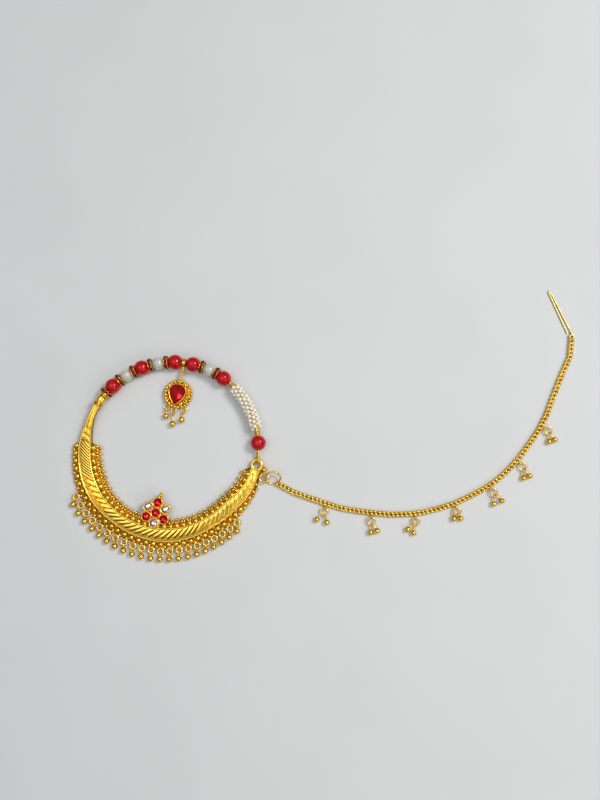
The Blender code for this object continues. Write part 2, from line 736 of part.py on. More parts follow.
def drop_mesh(name, ball_diameter, stem):
    """An upright eye at the origin and a ball that lies out along X."""
    reach = (DROP_EYE_MEAN_DIAMETER + DROP_EYE_WIRE) / 2 + stem + ball_diameter / 2 - DROP_BALL_SINK
    bm = bmesh.new()
    turn = Matrix.Rotation(math.pi / 2, 4, "X")
    add_ring(bm, DROP_EYE_MEAN_DIAMETER, DROP_EYE_WIRE, turn)
    eye = mesh_from(bm, name)
    bm = bmesh.new()
    lift = ball_diameter / 2 - FRINGE_HEIGHT
    half_side = Matrix.Rotation(math.pi / BALL_SIDES, 4, "Z")
    add_ball(bm, ball_diameter, Matrix.Translation((reach, 0.0, lift)) @ half_side)
    ball = mesh_from(bm, name)
    solids = [eye, ball]
    if stem > 0:
        bm = bmesh.new()
        start = Vector((DROP_EYE_MEAN_DIAMETER / 2, 0.0, 0.0))
        add_rod(bm, start, Vector((reach, 0.0, lift)), DROP_EYE_WIRE)
        solids.append(mesh_from(bm, name))
    return fuse(solids)


def drop_place(ring_centre, ring_mean_diameter, direction):
    """Where a drop's eye hangs on a flat ring, and how it turns."""
    outward = polar(1.0, direction)
    centre = ring_centre + outward * (ring_mean_diameter / 2 + DROP_LINK_SLACK)
    return Matrix.Translation(centre) @ Matrix.Rotation(math.radians(direction), 4, "Z")


def make_fringe_drops():
    mesh = drop_mesh("fringe_drop", DROP_BALL_DIAMETER, 0.0)
    for index, (angle, centre) in enumerate(fringe_places(), start=1):
        direction = min(max(FRINGE_LIE_DIRECTION, angle - FRINGE_SWING), angle + FRINGE_SWING)
        matrix = drop_place(centre, FRINGE_RING_MEAN_DIAMETER, direction)
        finish(f"fringe_drop_{index}", mesh, "gold_plate", matrix)


# Stones


def stone_in_bezel(outline, wall, height, base, centre):
    """A bezel from base up to height round a stone's outline, with the stone's crown and table in it."""
    bm = bmesh.new()
    verts = [bm.verts.new(Vector((point.x, point.y, 0.0)) + Vector((0, 0, base))) for point in outline]
    foot = bm.faces.new(verts)
    if foot.normal.z < 0:
        foot.normal_flip()
    bm.normal_update()
    top = bmesh.ops.extrude_face_region(bm, geom=[foot])
    raised = [item for item in top["geom"] if isinstance(item, bmesh.types.BMVert)]
    bmesh.ops.translate(bm, vec=(0.0, 0.0, height - base), verts=raised)
    lid = next(item for item in top["geom"] if isinstance(item, bmesh.types.BMFace))
    bmesh.ops.recalc_face_normals(bm, faces=bm.faces)
    bmesh.ops.inset_region(bm, faces=[lid], thickness=wall, depth=0.0)
    middle = lid.calc_center_median()
    crown = bmesh.ops.extrude_face_region(bm, geom=[lid])
    rim = [item for item in crown["geom"] if isinstance(item, bmesh.types.BMVert)]
    for vert in rim:
        vert.co = middle + (vert.co - middle) * TABLE_SHARE + Vector((0.0, 0.0, STONE_CROWN))
    bmesh.ops.delete(bm, geom=[face for face in bm.faces if face == lid], context="FACES_ONLY")
    bmesh.ops.translate(bm, vec=(centre.x, centre.y, 0.0), verts=bm.verts)
    return mesh_from(bm, "stone_in_bezel")


def round_outline(diameter, sides):
    return [polar(diameter / 2, 360.0 * index / sides) for index in range(sides)]


def pear_outline(length, width, tilt):
    """A teardrop with its point towards -Y, turned by tilt."""
    fullest = 0.739
    turn = Matrix.Rotation(math.radians(tilt), 3, "Z")
    points = []
    for index in range(PEAR_POINTS):
        t = math.tau * index / PEAR_POINTS
        x = width / 2 / fullest * math.sin(t) * math.sin(t / 2) ** 1.2
        points.append(turn @ Vector((x, -length / 2 * math.cos(t), 0.0)))
    return points


def make_flower():
    """Seven bezels touch and fuse over the inner rim, with a pointed finial towards the hoop's centre."""
    middle = polar(HOOP_RADIUS - FLOWER_INSET, crescent_angle(FLOWER_PLACE))
    base = RAIL_HEIGHT + SEAT_GAP
    outer = FLOWER_STONE_DIAMETER + 2 * BEZEL_WALL
    places = [middle]
    for petal in range(FLOWER_PETALS):
        places.append(middle + polar(FLOWER_PITCH, FLOWER_FIRST_PETAL + 360.0 * petal / FLOWER_PETALS))
    outline = round_outline(outer, STONE_SIDES)
    bezels = [stone_in_bezel(outline, BEZEL_WALL, base + BEZEL_HEIGHT, base, place) for place in places]
    bm = bmesh.new()
    height = base + FINIAL_WIDTH / 2
    start = middle + polar(FLOWER_PITCH, FINIAL_DIRECTION, height)
    tip = middle + polar(FINIAL_REACH, FINIAL_DIRECTION, height)
    add_rod(bm, start, tip, FINIAL_WIDTH, FINIAL_TIP_WIDTH, sides=6)
    finish("flower_cluster", fuse([*bezels, mesh_from(bm, "finial")]), "gold_plate")


# Pendant


def pendant_frame(centre):
    """A flat disc with a granulated edge."""
    bm = bmesh.new()
    count = PENDANT_SCALLOPS * 2
    verts = []
    for index in range(count):
        radius = PENDANT_DIAMETER / 2 - PENDANT_SCALLOP_DEPTH * (index % 2)
        verts.append(bm.verts.new(centre + polar(radius, 360.0 * index / count)))
    face = bm.faces.new(verts)
    top = bmesh.ops.extrude_face_region(bm, geom=[face])
    raised = [item for item in top["geom"] if isinstance(item, bmesh.types.BMVert)]
    bmesh.ops.translate(bm, vec=(0.0, 0.0, PENDANT_THICKNESS), verts=raised)
    return mesh_from(bm, "pendant_frame")


def pendant_centre():
    return polar(HOOP_RADIUS, bail_angle()) + polar(PENDANT_HANG, PENDANT_HANG_DIRECTION)


def bail():
    """A band round the hoop wire and its stem down to the frame."""
    bore = BORE_DIAMETER / 2
    outer = BAIL_OUTER_DIAMETER / 2
    half = BAIL_LENGTH / 2
    profile = [(outer, half), (outer, -half), (bore, -half), (bore, half)]
    band = turned_mesh("bail", profile, BEAD_SIDES, closed=True)
    band.transform(on_hoop(bail_angle()))
    bm = bmesh.new()
    start = polar(HOOP_RADIUS - (outer + bore) / 2, bail_angle(), AXIS_HEIGHT)
    end = pendant_centre() - polar(PENDANT_DIAMETER / 2 - BAIL_STEM_LAP, PENDANT_HANG_DIRECTION)
    end.z = PENDANT_THICKNESS - BAIL_STEM_DIAMETER / 3
    add_rod(bm, start, end, BAIL_STEM_DIAMETER, sides=6)
    return [band, mesh_from(bm, "bail_stem")]


def pendant_ring_centre(centre, seat):
    outer = (PENDANT_RING_MEAN_DIAMETER + PENDANT_RING_WIRE) / 2
    place = centre + polar(PENDANT_DIAMETER / 2 + outer - PENDANT_RING_SEAT, seat)
    place.z = FRINGE_HEIGHT
    return place


def make_pendant():
    centre = pendant_centre()
    outline = pear_outline(PEAR_LENGTH + PEAR_POINT_WALL * 2, PEAR_WIDTH + PEAR_BEZEL_WALL * 2, PEAR_TILT)
    setting = stone_in_bezel(outline, PEAR_BEZEL_WALL, PEAR_BEZEL_HEIGHT, PENDANT_THICKNESS / 2, centre)
    bm = bmesh.new()
    for drop in PENDANT_DROPS:
        place = pendant_ring_centre(centre, drop["seat"])
        add_ring(bm, PENDANT_RING_MEAN_DIAMETER, PENDANT_RING_WIRE, Matrix.Translation(place))
    rings = mesh_from(bm, "pendant_rings")
    mesh = fuse([pendant_frame(centre), setting, *bail(), rings])
    finish("pendant", mesh, "gold_plate")
    for index, drop in enumerate(PENDANT_DROPS, start=1):
        name = f"pendant_drop_{index}"
        mesh = drop_mesh(name, PENDANT_BALL_DIAMETER, PENDANT_BALL_DIAMETER * drop["stem"])
        place = pendant_ring_centre(centre, drop["seat"])
        finish(name, mesh, "gold_plate", drop_place(place, PENDANT_RING_MEAN_DIAMETER, drop["points"]))


# Jump ring, chain, charms and hook


def jump_ring_matrix():
    centre = side_ring_centre() + Vector((JUMP_RING_REACH, 0.0, 0.0))
    centre.z = JUMP_RING_HEIGHT
    return Matrix.Translation(centre) @ Matrix.Rotation(math.radians(JUMP_RING_TILT), 4, "X")


def make_jump_ring():
    """Tilted, so that it passes over one side of the cast ring and under the other."""
    bm = bmesh.new()
    add_ring(bm, JUMP_RING_MEAN_DIAMETER, JUMP_RING_WIRE, jump_ring_matrix(), sides=10)
    ring = mesh_from(bm, "jump_ring")
    bm = bmesh.new()
    knot = jump_ring_matrix() @ polar(JUMP_RING_MEAN_DIAMETER / 2, JUMP_KNOT_ANGLE)
    add_ball(bm, JUMP_KNOT_DIAMETER, Matrix.Translation(knot))
    finish("jump_ring", fuse([ring, mesh_from(bm, "knot")]), "gold_plate")


def chain_start():
    """The middle of the chain's first loop, on the wire of the jump ring."""
    return jump_ring_matrix() @ polar(JUMP_RING_MEAN_DIAMETER / 2, CHAIN_LINK_ANGLE)


def chain_route():
    """Evenly spaced points of the chain's middle, between its two end loops."""
    first = chain_start()
    first.z = CHAIN_DIAMETER / 2
    offsets = [Vector((x * MM, y * MM, 0.0)) for x, y in CHAIN_ROUTE_MM]
    start = first + offsets[0].normalized() * LOOP_REACH
    return smooth_route([start, *[first + offset for offset in offsets]], CHAIN_POINTS)


def side_of(direction):
    """The horizontal direction to the right of a heading."""
    return Vector((direction.y, -direction.x, 0.0)).normalized()


def charm_loop_centre(route, share):
    """The middle of a charm's loop, on the outer side of the chain."""
    point, heading = route_at(route, share)
    place = point + side_of(heading) * (CHAIN_DIAMETER / 2 + CHARM_LOOP_OFFSET)
    place.z = LOOP_HEIGHT
    return place, heading


def chain_end_loop(route):
    """The middle of the last loop, past the end of the tube."""
    heading = (route[-1] - route[-2]).normalized()
    place = route[-1] + heading * LOOP_REACH
    place.z = LOOP_HEIGHT
    return place, heading


def make_chain(route):
    """A plain round run of the chain's own width, with upright loops on it."""
    tube = wire_mesh("chain", route, CHAIN_DIAMETER, 2)
    bm = bmesh.new()
    for charm in CHARMS:
        place, heading = charm_loop_centre(route, charm["at"])
        add_ring(bm, LOOP_MEAN_DIAMETER, LOOP_WIRE, aimed(place, heading))
    last, heading = chain_end_loop(route)
    add_ring(bm, LOOP_MEAN_DIAMETER, LOOP_WIRE, aimed(last, side_of(heading)))
    first = chain_start()
    first.z = FIRST_LOOP_HEIGHT
    add_ring(bm, LOOP_MEAN_DIAMETER, LOOP_WIRE, aimed(first, side_of(route[1] - route[0])))
    finish("chain", fuse([tube, mesh_from(bm, "loops")]), "gold_plate")


def make_charms(route):
    """Each ring lies flat through its loop, and its two balls lie on the floor."""
    for index, charm in enumerate(CHARMS, start=1):
        loop, heading = charm_loop_centre(route, charm["at"])
        centre = loop + side_of(heading) * CHARM_RING_MEAN_DIAMETER / 2
        bm = bmesh.new()
        turn = Matrix.Rotation(math.atan2(heading.y, heading.x), 4, "Z")
        add_ring(bm, CHARM_RING_MEAN_DIAMETER, CHARM_RING_WIRE, Matrix.Translation(centre) @ turn)
        solids = [mesh_from(bm, "charm_ring")]
        for direction in charm["turns"]:
            ball = centre + polar(CHARM_REACH * charm["reach"], direction)
            ball.z = CHARM_BALL_DIAMETER / 2
            start = centre + polar(CHARM_RING_MEAN_DIAMETER / 2, direction)
            bm = bmesh.new()
            add_ball(bm, CHARM_BALL_DIAMETER, Matrix.Translation(ball))
            solids.append(mesh_from(bm, "charm_ball"))
            if (ball - start).length > CHARM_BALL_DIAMETER / 2:
                bm = bmesh.new()
                add_rod(bm, start, ball, CHARM_STEM_DIAMETER)
                solids.append(mesh_from(bm, "charm_stem"))
        finish(f"charm_{index}", fuse(solids), "gold_plate")


def make_hair_hook(route):
    """A wire from a free end to the tip, back beside itself and curled into an eye at the chain."""
    loop, heading = chain_end_loop(route)
    forward = polar(1.0, HOOK_DIRECTION)
    across = side_of(forward)
    lift = HOOK_WIRE / 2
    eye_radius = HOOK_EYE_MEAN_DIAMETER / 2
    eye = loop + heading * eye_radius
    floor = Vector((eye.x, eye.y, lift))
    base = (HOOK_BASE_WIDTH - HOOK_WIRE) / 2
    tip = (HOOK_TIP_WIDTH - HOOK_WIRE) / 2
    points = [floor + forward * HOOK_FREE_END - across * base]
    points.append(floor + forward * (HOOK_LENGTH - tip) - across * tip)
    for step in range(1, 6):
        turn = math.pi * step / 6
        bend = forward * (HOOK_LENGTH - tip + tip * math.sin(turn)) - across * tip * math.cos(turn)
        points.append(floor + bend)
    points.append(floor + forward * (HOOK_LENGTH - tip) + across * tip)
    points.append(floor + forward * HOOK_NECK + across * base)
    sweep = math.degrees(math.atan2(across.y, across.x))
    turns = 9
    for step in range(turns + 1):
        place = eye + polar(eye_radius, sweep - HOOK_EYE_TURN * step / turns)
        place.z = HOOK_EYE_HEIGHT
        points.append(place)
    finish("hair_hook", wire_mesh("hair_hook", points, HOOK_WIRE, 1), "pale_brass")


def centre_on_floor():
    """Carries the model to the middle of its own outline, with the floor at height zero."""
    bpy.context.view_layer.update()
    corners = []
    for item in model.objects:
        corners += [item.matrix_world @ vert.co for vert in item.data.vertices]
    low = [min(corner[axis] for corner in corners) for axis in range(3)]
    high = [max(corner[axis] for corner in corners) for axis in range(3)]
    anchor = bpy.data.objects.new("nath_anchor", None)
    anchor.location = (-(low[0] + high[0]) / 2, -(low[1] + high[1]) / 2, -low[2])
    pieces = list(model.objects)
    model.objects.link(anchor)
    for item in pieces:
        item.parent = anchor


def main():
    clear_scene()
    bpy.context.scene.collection.children.link(model)
    make_materials()
    make_string()
    make_hoop_wire()
    make_crescent()
    make_fringe_drops()
    make_flower()
    make_pendant()
    make_jump_ring()
    route = chain_route()
    make_chain(route)
    make_charms(route)
    make_hair_hook(route)
    centre_on_floor()


main()
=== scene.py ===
"""Dresses the nath nose ring: fine castings, cut stones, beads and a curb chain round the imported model."""
import json
import math

import bmesh
import bpy
from bpy.props import FloatProperty, FloatVectorProperty, IntProperty, PointerProperty
from mathutils import Matrix, Vector

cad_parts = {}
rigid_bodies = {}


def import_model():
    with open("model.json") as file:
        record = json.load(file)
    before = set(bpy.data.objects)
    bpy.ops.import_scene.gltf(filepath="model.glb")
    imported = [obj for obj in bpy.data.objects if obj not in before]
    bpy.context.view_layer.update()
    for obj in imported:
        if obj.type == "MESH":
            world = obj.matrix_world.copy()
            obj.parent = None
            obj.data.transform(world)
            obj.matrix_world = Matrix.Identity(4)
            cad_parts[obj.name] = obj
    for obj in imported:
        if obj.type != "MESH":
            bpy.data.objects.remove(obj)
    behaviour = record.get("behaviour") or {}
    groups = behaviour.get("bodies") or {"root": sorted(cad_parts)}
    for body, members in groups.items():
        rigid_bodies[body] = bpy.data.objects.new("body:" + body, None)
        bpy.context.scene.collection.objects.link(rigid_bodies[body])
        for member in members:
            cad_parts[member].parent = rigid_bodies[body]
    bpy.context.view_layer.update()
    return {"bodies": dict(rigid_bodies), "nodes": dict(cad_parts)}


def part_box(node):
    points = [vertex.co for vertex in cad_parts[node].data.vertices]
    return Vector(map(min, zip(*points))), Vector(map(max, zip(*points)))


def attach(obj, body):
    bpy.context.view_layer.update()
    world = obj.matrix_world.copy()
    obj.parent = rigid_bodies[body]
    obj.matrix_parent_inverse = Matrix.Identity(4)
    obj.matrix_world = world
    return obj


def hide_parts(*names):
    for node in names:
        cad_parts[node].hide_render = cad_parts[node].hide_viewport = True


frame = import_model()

bl_info = {
    "name": "Nath nose ring",
    "version": (1, 0, 0),
    "blender": (4, 5, 0),
    "location": "3D View > Sidebar > Nath",
    "description": "Models the finished surfaces of a nath nose ring round its packed solids",
    "category": "Object",
}

MM = 0.001
MERGE = 0.0005 * MM
UP = Vector((0.0, 0.0, 1.0))
ROOT = "root"
CRISP_EDGE = math.radians(12.0)
SOFT_EDGE = math.radians(64.0)

# String of beads: how many there are, and sizes that they share with their solids
RED_BEADS = 6
PEARLS = 3
RONDELLES = 7
BORE = 1.2 * MM
COIL_DIAMETER = 1.8 * MM
COIL_LENGTH = 1.5 * MM
COIL_WIRE = 0.37 * MM
COIL_TURNS = 3
SLEEVE_DIAMETER = 3.8 * MM
SLEEVE_LENGTH = 15.6 * MM

# Rings of a brilliant's corners: share of its radius, share of its height, corners and twist in degrees
GEM_RINGS = ((0.34, 1.0, 8, 0.0), (0.7, 0.66, 8, 22.5), (1.0, 0.06, 16, 0.0), (1.0, -0.08, 16, 0.0))

# Rondelle: two fluted rims of wire and their webs on a hub, with stones between the flutes
RONDELLE_RIM_LENGTH = 1.3 * MM
RONDELLE_RIM_WIRE = 0.24 * MM
RONDELLE_LOBES = 10
RONDELLE_LOBE_REACH = 0.06 * MM
RONDELLE_LOBE_LEAN = 0.08 * MM
RONDELLE_WEB_EDGE = 0.32 * MM
RONDELLE_WEB_FOOT = 0.4 * MM
RONDELLE_WEB_DIP = 0.18 * MM
RONDELLE_WEB_FACE = 0.42 * MM
RONDELLE_WEB_BACK = 0.28 * MM
RONDELLE_HUB_RADIUS = 1.35 * MM
RONDELLE_HUB_HALF = 0.4 * MM
RONDELLE_GEM = 1.2 * MM
RONDELLE_GEM_HEIGHT = 0.36 * MM
RONDELLE_GEM_DEPTH = 0.35 * MM
RONDELLE_GEM_INSET = 0.38 * MM

# Seed bead sleeve
SLEEVE_SWELL = 0.16 * MM
SLEEVE_END_SHARE = 0.74
SLEEVE_TAPER = 1.4 * MM
SLEEVE_TWIST = 0.35
SLEEVE_CORE = 2.0 * MM
SLEEVE_LEAD_STEP = 3
SEED_PITCH_SHARE = 1.04
SEED_BORE_TURN = 0.35
SEED_FULLNESS = 0.8

# Hoop wire, from its socket in the collar to the hook behind the eye's bar
WIRE = 0.6 * MM
WIRE_SOCKET_TURN = 3.5
WIRE_BEND_BACK = 2.37 * MM
WIRE_LANE = 0.35 * MM
WIRE_LOW = 0.4 * MM
WIRE_CLEARANCE = 0.2 * MM
WIRE_UPRIGHT = Vector((0.05, 0.0, 1.0))
WIRE_APPROACH = 0.8
WIRE_RETURN = 0.5
WIRE_RETURN_RISE = 0.6

# Crescent: its arc in degrees round the hoop, and its section table as in the solid
ARM_ANGLE = 149.6
EYE_ANGLE = 348.8
EYE_DIAMETER = 3.9 * MM
EYE_HOLE_DIAMETER = 2.1 * MM
EYE_HEIGHT = 1.4 * MM
CRESCENT_WIDTH = 9.0 * MM
RAIL_HEIGHT = 2.02 * MM
RIM_HEIGHT = 1.54 * MM
RIM_START = 0.142
RIM_END = 0.985
RAIL_WIRE = 0.62 * MM
RAIL_CREST = 0.93
PLATE_STEPS = 180
PLATE_RIM_SHARE = 0.45
PLATE_RAIL_SHARE = 0.72
PLATE_INNER_SHARE = 0.74
PLATE_OUTER_SHARE = 0.86
PLATE_EDGE_SHARE = 0.8
RAIL_STEPS = 150

# Cuts along the leaf. Each zone starts at a share of the arc. Valley is where its deepest line lies and
# width how wide it is, both as shares of the pitch, and margin is the share of the leaf that it leaves by
# the rails.
LEAF_COLUMNS = ("start", "pitch", "valley", "width", "depth", "margin", "dark", "dot")
# Where dark is 1 the valley's faces are painted shade, in the cut_shadow finish.
LEAF_ZONES = (
    (0.045, 1.9 * MM, 0.3, 0.8, 0.55 * MM, 0.04, 0.0, 0.0),
    (0.135, 0.95 * MM, 0.26, 0.6, 0.26 * MM, 0.02, 1.0, 0.0),
    (0.247, 2.0 * MM, 0.24, 0.5, 0.6 * MM, 0.06, 0.0, 0.95 * MM),
    (0.385, 1.85 * MM, 0.28, 0.58, 1.0 * MM, 0.14, 1.0, 0.0),
    (0.715, 1.95 * MM, 0.16, 0.9, 0.26 * MM, 0.05, 0.0, 0.42 * MM),
)
LEAF_END = 0.985
LEAF_SLANT = 9.0
LEAF_ARM_SLANT = 6.5
LEAF_SLANT_START = 0.08
LEAF_SLANT_RUN = 0.12
LEAF_FADE_IN = 0.03
LEAF_FADE_OUT = 0.02
LEAF_BOW = 0.16 * MM
LEAF_MARGINS = 1.5
LEAF_CUT_TAPER = 0.5
LEAF_CUT_FULLNESS = 0.6
LEAF_ACROSS = 12
LEAF_PLAIN_COLUMNS = 6
LEAF_PLAIN_PITCH = 0.01
LEAF_FLANK_SHARE = 0.5
# Band across the leaf, as shares from the outer rail, whose valley faces are painted shade
LEAF_DARK_FROM = 0.2
LEAF_DARK_TO = 0.93
LEAF_DOT_ALONG = 0.62
LEAF_DOT_ACROSS = 0.4
SECTION_COLUMNS = ("place", "inner_tip", "inner_rail", "outer_rail", "outer_tip", "foot", "height")
CRESCENT_SECTIONS = (
    (0.0, -0.095, -0.065, 0.065, 0.095, 0.64, 0.76),
    (0.043, -0.105, -0.075, 0.075, 0.105, 0.52, 0.80),
    (0.083, -0.14, -0.10, 0.10, 0.14, 0.26, 0.90),
    (0.119, -0.18, -0.15, 0.16, 0.19, 0.05, 1.00),
    (0.137, -0.20, -0.16, 0.18, 0.22, 0.0, 1.00),
    (0.145, -0.56, -0.165, 0.20, 0.48, 0.0, 1.00),
    (0.256, -0.55, -0.13, 0.26, 0.60, 0.0, 1.00),
    (0.332, -0.50, -0.12, 0.25, 0.60, 0.0, 1.00),
    (0.409, -0.50, -0.14, 0.20, 0.55, 0.0, 1.00),
    (0.510, -0.54, -0.18, 0.20, 0.49, 0.0, 1.00),
    (0.611, -0.57, -0.23, 0.19, 0.43, 0.0, 1.00),
    (0.754, -0.62, -0.31, 0.05, 0.35, 0.0, 1.00),
    (0.850, -0.64, -0.34, 0.05, 0.34, 0.0, 1.00),
    (0.931, -0.52, -0.17, 0.11, 0.31, 0.0, 1.00),
    (0.957, -0.50, -0.155, 0.115, 0.23, 0.0, 0.95),
    (0.987, -0.46, -0.145, 0.12, 0.20, 0.0, 0.90),
    (1.0, -0.19, -0.14, 0.14, 0.18, 0.0, 0.86),
)

# Inner rim: one unit's bosses and balls, each with its reach from the rail, its place sideways in mm, its
# size in mm and its share of the rim's height
INNER_RIM_ZONE = 3.7 * MM
INNER_RIM_GROWTH = 1.05
INNER_RIM_UNIT = (
    (0.25, 0.0, "boss", 2.1, 0.85), (0.6, -0.52, "ball", 1.06, 0.7), (0.6, 0.52, "ball", 1.06, 0.7),
    (0.88, 0.0, "ball", 1.2, 0.64),
)

# Outer rim: one pitch of granules, each with its reach from the rail, its place in pitches, its size as a
# share of the large one and its share of the rim's height
OUTER_RIM_PITCH = 2.1 * MM
OUTER_RIM_LEAD = 0.004
OUTER_RIM_TRAIL = 0.012
OUTER_RIM_FILL = 0.85
OUTER_RIM_UNIT = ((0.44, 0.0, 1.0, 0.62), (0.14, 0.5, 0.42, 0.9), (0.76, 0.5, 0.58, 0.5))

# Collar profile: radius and length along it, from the beads to the arm
COLLAR_SIDES = 20
COLLAR_START_ANGLE = 141.43
COLLAR_PROFILE_MM = (
    (0.5, 0.0), (1.3, 0.0), (1.55, 0.12), (1.6, 0.28), (1.5, 0.44), (0.95, 0.52), (0.95, 0.6), (1.4, 0.66),
    (1.5, 0.8), (1.4, 0.96), (0.95, 1.04), (1.4, 1.2), (1.48, 2.0), (1.4, 2.72), (0.9, 2.86), (0.9, 2.96),
    (1.5, 3.02), (1.7, 3.2), (1.7, 3.36), (1.5, 3.56), (1.05, 3.64), (1.5, 3.74), (1.75, 3.94), (1.75, 4.1),
    (1.5, 4.32), (0.8, 4.42), (0.8, 4.95), (0.3, 4.95),
)

# Eye with its soft edges, and the side ring and granule by it
EYE_HALF = 0.5 * MM
EYE_SOFT = 0.22 * MM
SIDE_RING_BACK = 3.12 * MM
SIDE_RING_OFFSET = 3.2 * MM
SIDE_RING_MEAN = 2.6 * MM
SIDE_RING_WIRE = 0.6 * MM
SIDE_RING_HEIGHT = 1.55 * MM
SIDE_GRANULE = 2.0 * MM
SIDE_GRANULE_BACK = 0.93 * MM
SIDE_GRANULE_OFFSET = 2.5 * MM

# Fringe rings and drops
FRINGE_COUNT = 21
FRINGE_START = 0.2915
FRINGE_END = 0.822
FRINGE_MEAN = 1.8 * MM
FRINGE_WIRE = 0.5 * MM
FRINGE_CAST_WIRE = 0.7 * MM
FRINGE_HEIGHT = 0.9 * MM
FRINGE_SEAT = 0.45 * MM
FRINGE_LIE_DIRECTION = 266.0
FRINGE_SWING = 41.0
DROP_EYE_MEAN = 1.3 * MM
DROP_EYE_WIRE = 0.4 * MM
DROP_SLACK = 0.08 * MM
DROP_BALL = 1.95 * MM
DROP_EYE_CAST = 0.52 * MM
DROP_SINK = 0.3 * MM
DROP_STEM = 0.36 * MM
DROP_CAP_MEAN = 0.5 * MM
DROP_CAP_WIRE = 0.24 * MM
CAP_PLACE_SHARE = 0.47

# Flower of seven stones
FLOWER_PLACE = 0.549
FLOWER_INSET = 6.6 * MM
FLOWER_PITCH = 3.1 * MM
FLOWER_FIRST_PETAL = 80.0
FLOWER_BASE = 2.27 * MM
BEZEL_HEIGHT = 1.1 * MM
BEZEL_WALL = 0.3 * MM
FINIAL_DIRECTION = 75.0
FINIAL_REACH = 6.5 * MM
FLOWER_PETALS = 6
FLOWER_GEM_SHARE = 1.02
FLOWER_GEM_HEIGHT = 0.85 * MM
FLOWER_GEM_DEPTH = 0.55 * MM
FLOWER_GEM_SINK = 0.12 * MM
FLOWER_GEM_TURNS = (31.0, 19.0, 52.0, 40.0, 28.0, 16.0, 49.0)
FLOWER_FLOOR = 0.3 * MM
FLOWER_FLOOR_INSET = 0.1 * MM
FLOWER_GRANULE = 0.7 * MM
FLOWER_GRANULE_SHARE = 1.12
FLOWER_GRANULE_RISE = 0.6 * MM
# Bezel's rolled lip: shares of the wall inward and of the lip downward
BEZEL_LIP_SHARE = 0.5
BEZEL_LIP = ((0.0, 1.0), (0.2, 0.3), (0.5, 0.0), (0.9, 0.4), (1.0, 1.0))
FINIAL_WIRE = 0.38 * MM
FINIAL_WIRE_RISE = 0.5 * MM
FINIAL_CORNERS = ((0.5, 0.13), (1.0, 0.0), (0.5, -0.13))
# Finial's granules: share of its reach, place sideways in mm and size in mm
FINIAL_GRANULES = ((0.72, -0.4, 1.0), (0.72, 0.4, 1.0), (0.84, 0.0, 0.95), (0.95, 0.05, 0.7))
FINIAL_GRANULE_RISE = 0.75 * MM

# Pendant
PENDANT_HANG = 9.93 * MM
PENDANT_DIRECTION = -101.4
PENDANT_DIAMETER = 9.1 * MM
PENDANT_THICKNESS = 1.4 * MM
DISC_INSET = 0.35 * MM
DISC_BEVEL = 0.2 * MM
DISC_FOOT = 0.1 * MM
DISC_RISE_SHARE = 0.72
PEAR_LENGTH = 6.5 * MM
PEAR_WIDTH = 5.0 * MM
PEAR_FULLEST = 0.739
PEAR_SHARPNESS = 1.2
PEAR_TILT = -11.7
PEAR_OFFSET = Vector((-0.3 * MM, -0.25 * MM, 0.0))
PEAR_HEART_TURN = math.pi * 0.66
PEAR_HEART_SHARE = 0.22
# Rings of the pear stone's corners: share of its outline, share of its height, corners and twist in steps
PEAR_RINGS = ((1.0, 0.0, 18, 0.0), (0.6, 0.5, 9, 0.5), (0.05, 0.9, 9, 0.0))
PEAR_STONE_HEIGHT = 1.3 * MM
PEAR_STONE_DEPTH = 0.9 * MM
PEAR_STONE_SINK = 0.15 * MM
PEAR_BEZEL_WALL = 0.3825 * MM
PEAR_BEZEL_HEIGHT = 2.1 * MM
PEAR_BEZEL_FOOT = 0.7 * MM
PEAR_BEZEL_SECTION = (
    (1.0, 0.0), (1.0, 0.85), (0.8, 0.97), (0.5, 1.0), (0.15, 0.95), (0.0, 0.85), (0.0, 0.0),
)
EDGE_GRANULES = 24
EDGE_GRANULE_SMALL = 0.95
EDGE_GRANULE_LARGE = 1.3
EDGE_GRANULE_SINK = 0.45
EDGE_GRANULE_LIFT = 0.8
INNER_GRANULE = 0.7 * MM
INNER_GRANULE_INSET = 1.25 * MM
INNER_GRANULE_ANGLES = (112.0, 136.0, 160.0, 184.0, 208.0, 232.0, 256.0)
# Scrolls: where each lies round the frame, where it starts, how far it turns, and its reach in mm
SCROLLS = (
    (54.0, 130.0, -300.0, 0.7), (20.0, 170.0, -320.0, 0.76), (-16.0, 110.0, -300.0, 0.72),
    (-48.0, 90.0, -280.0, 0.66), (-76.0, 60.0, -280.0, 0.5),
)
SCROLL_WIRE = 0.44 * MM
SCROLL_PLACE_SHARE = 0.345
SCROLL_END_SHARE = 0.35
SCROLL_STEPS = 14
RELIEF_LIFT = 0.9
BAIL_BAND_MM = ((1.4, 0.42), (1.4, -0.42), (0.62, -0.35), (0.62, 0.35))
BAIL_TOP = 0.9 * MM
BAIL_FOOT = 3.3 * MM
BAIL_FOOT_RISE = 1.75 * MM
BAIL_HALF_WIDTH = 0.27 * MM
BAIL_WIRE = 0.42 * MM
BAIL_STEPS = 24
PENDANT_RING_MEAN = 1.6 * MM
PENDANT_RING_WIRE = 0.4 * MM
PENDANT_RING_SEAT = 0.4 * MM
PENDANT_BALL = 2.0 * MM
PENDANT_DROPS = (
    {"seat": -131.0, "points": -95.0, "stem": 0.25},
    {"seat": -105.0, "points": -93.0, "stem": 0.95},
    {"seat": -67.0, "points": -104.0, "stem": 0.45},
)

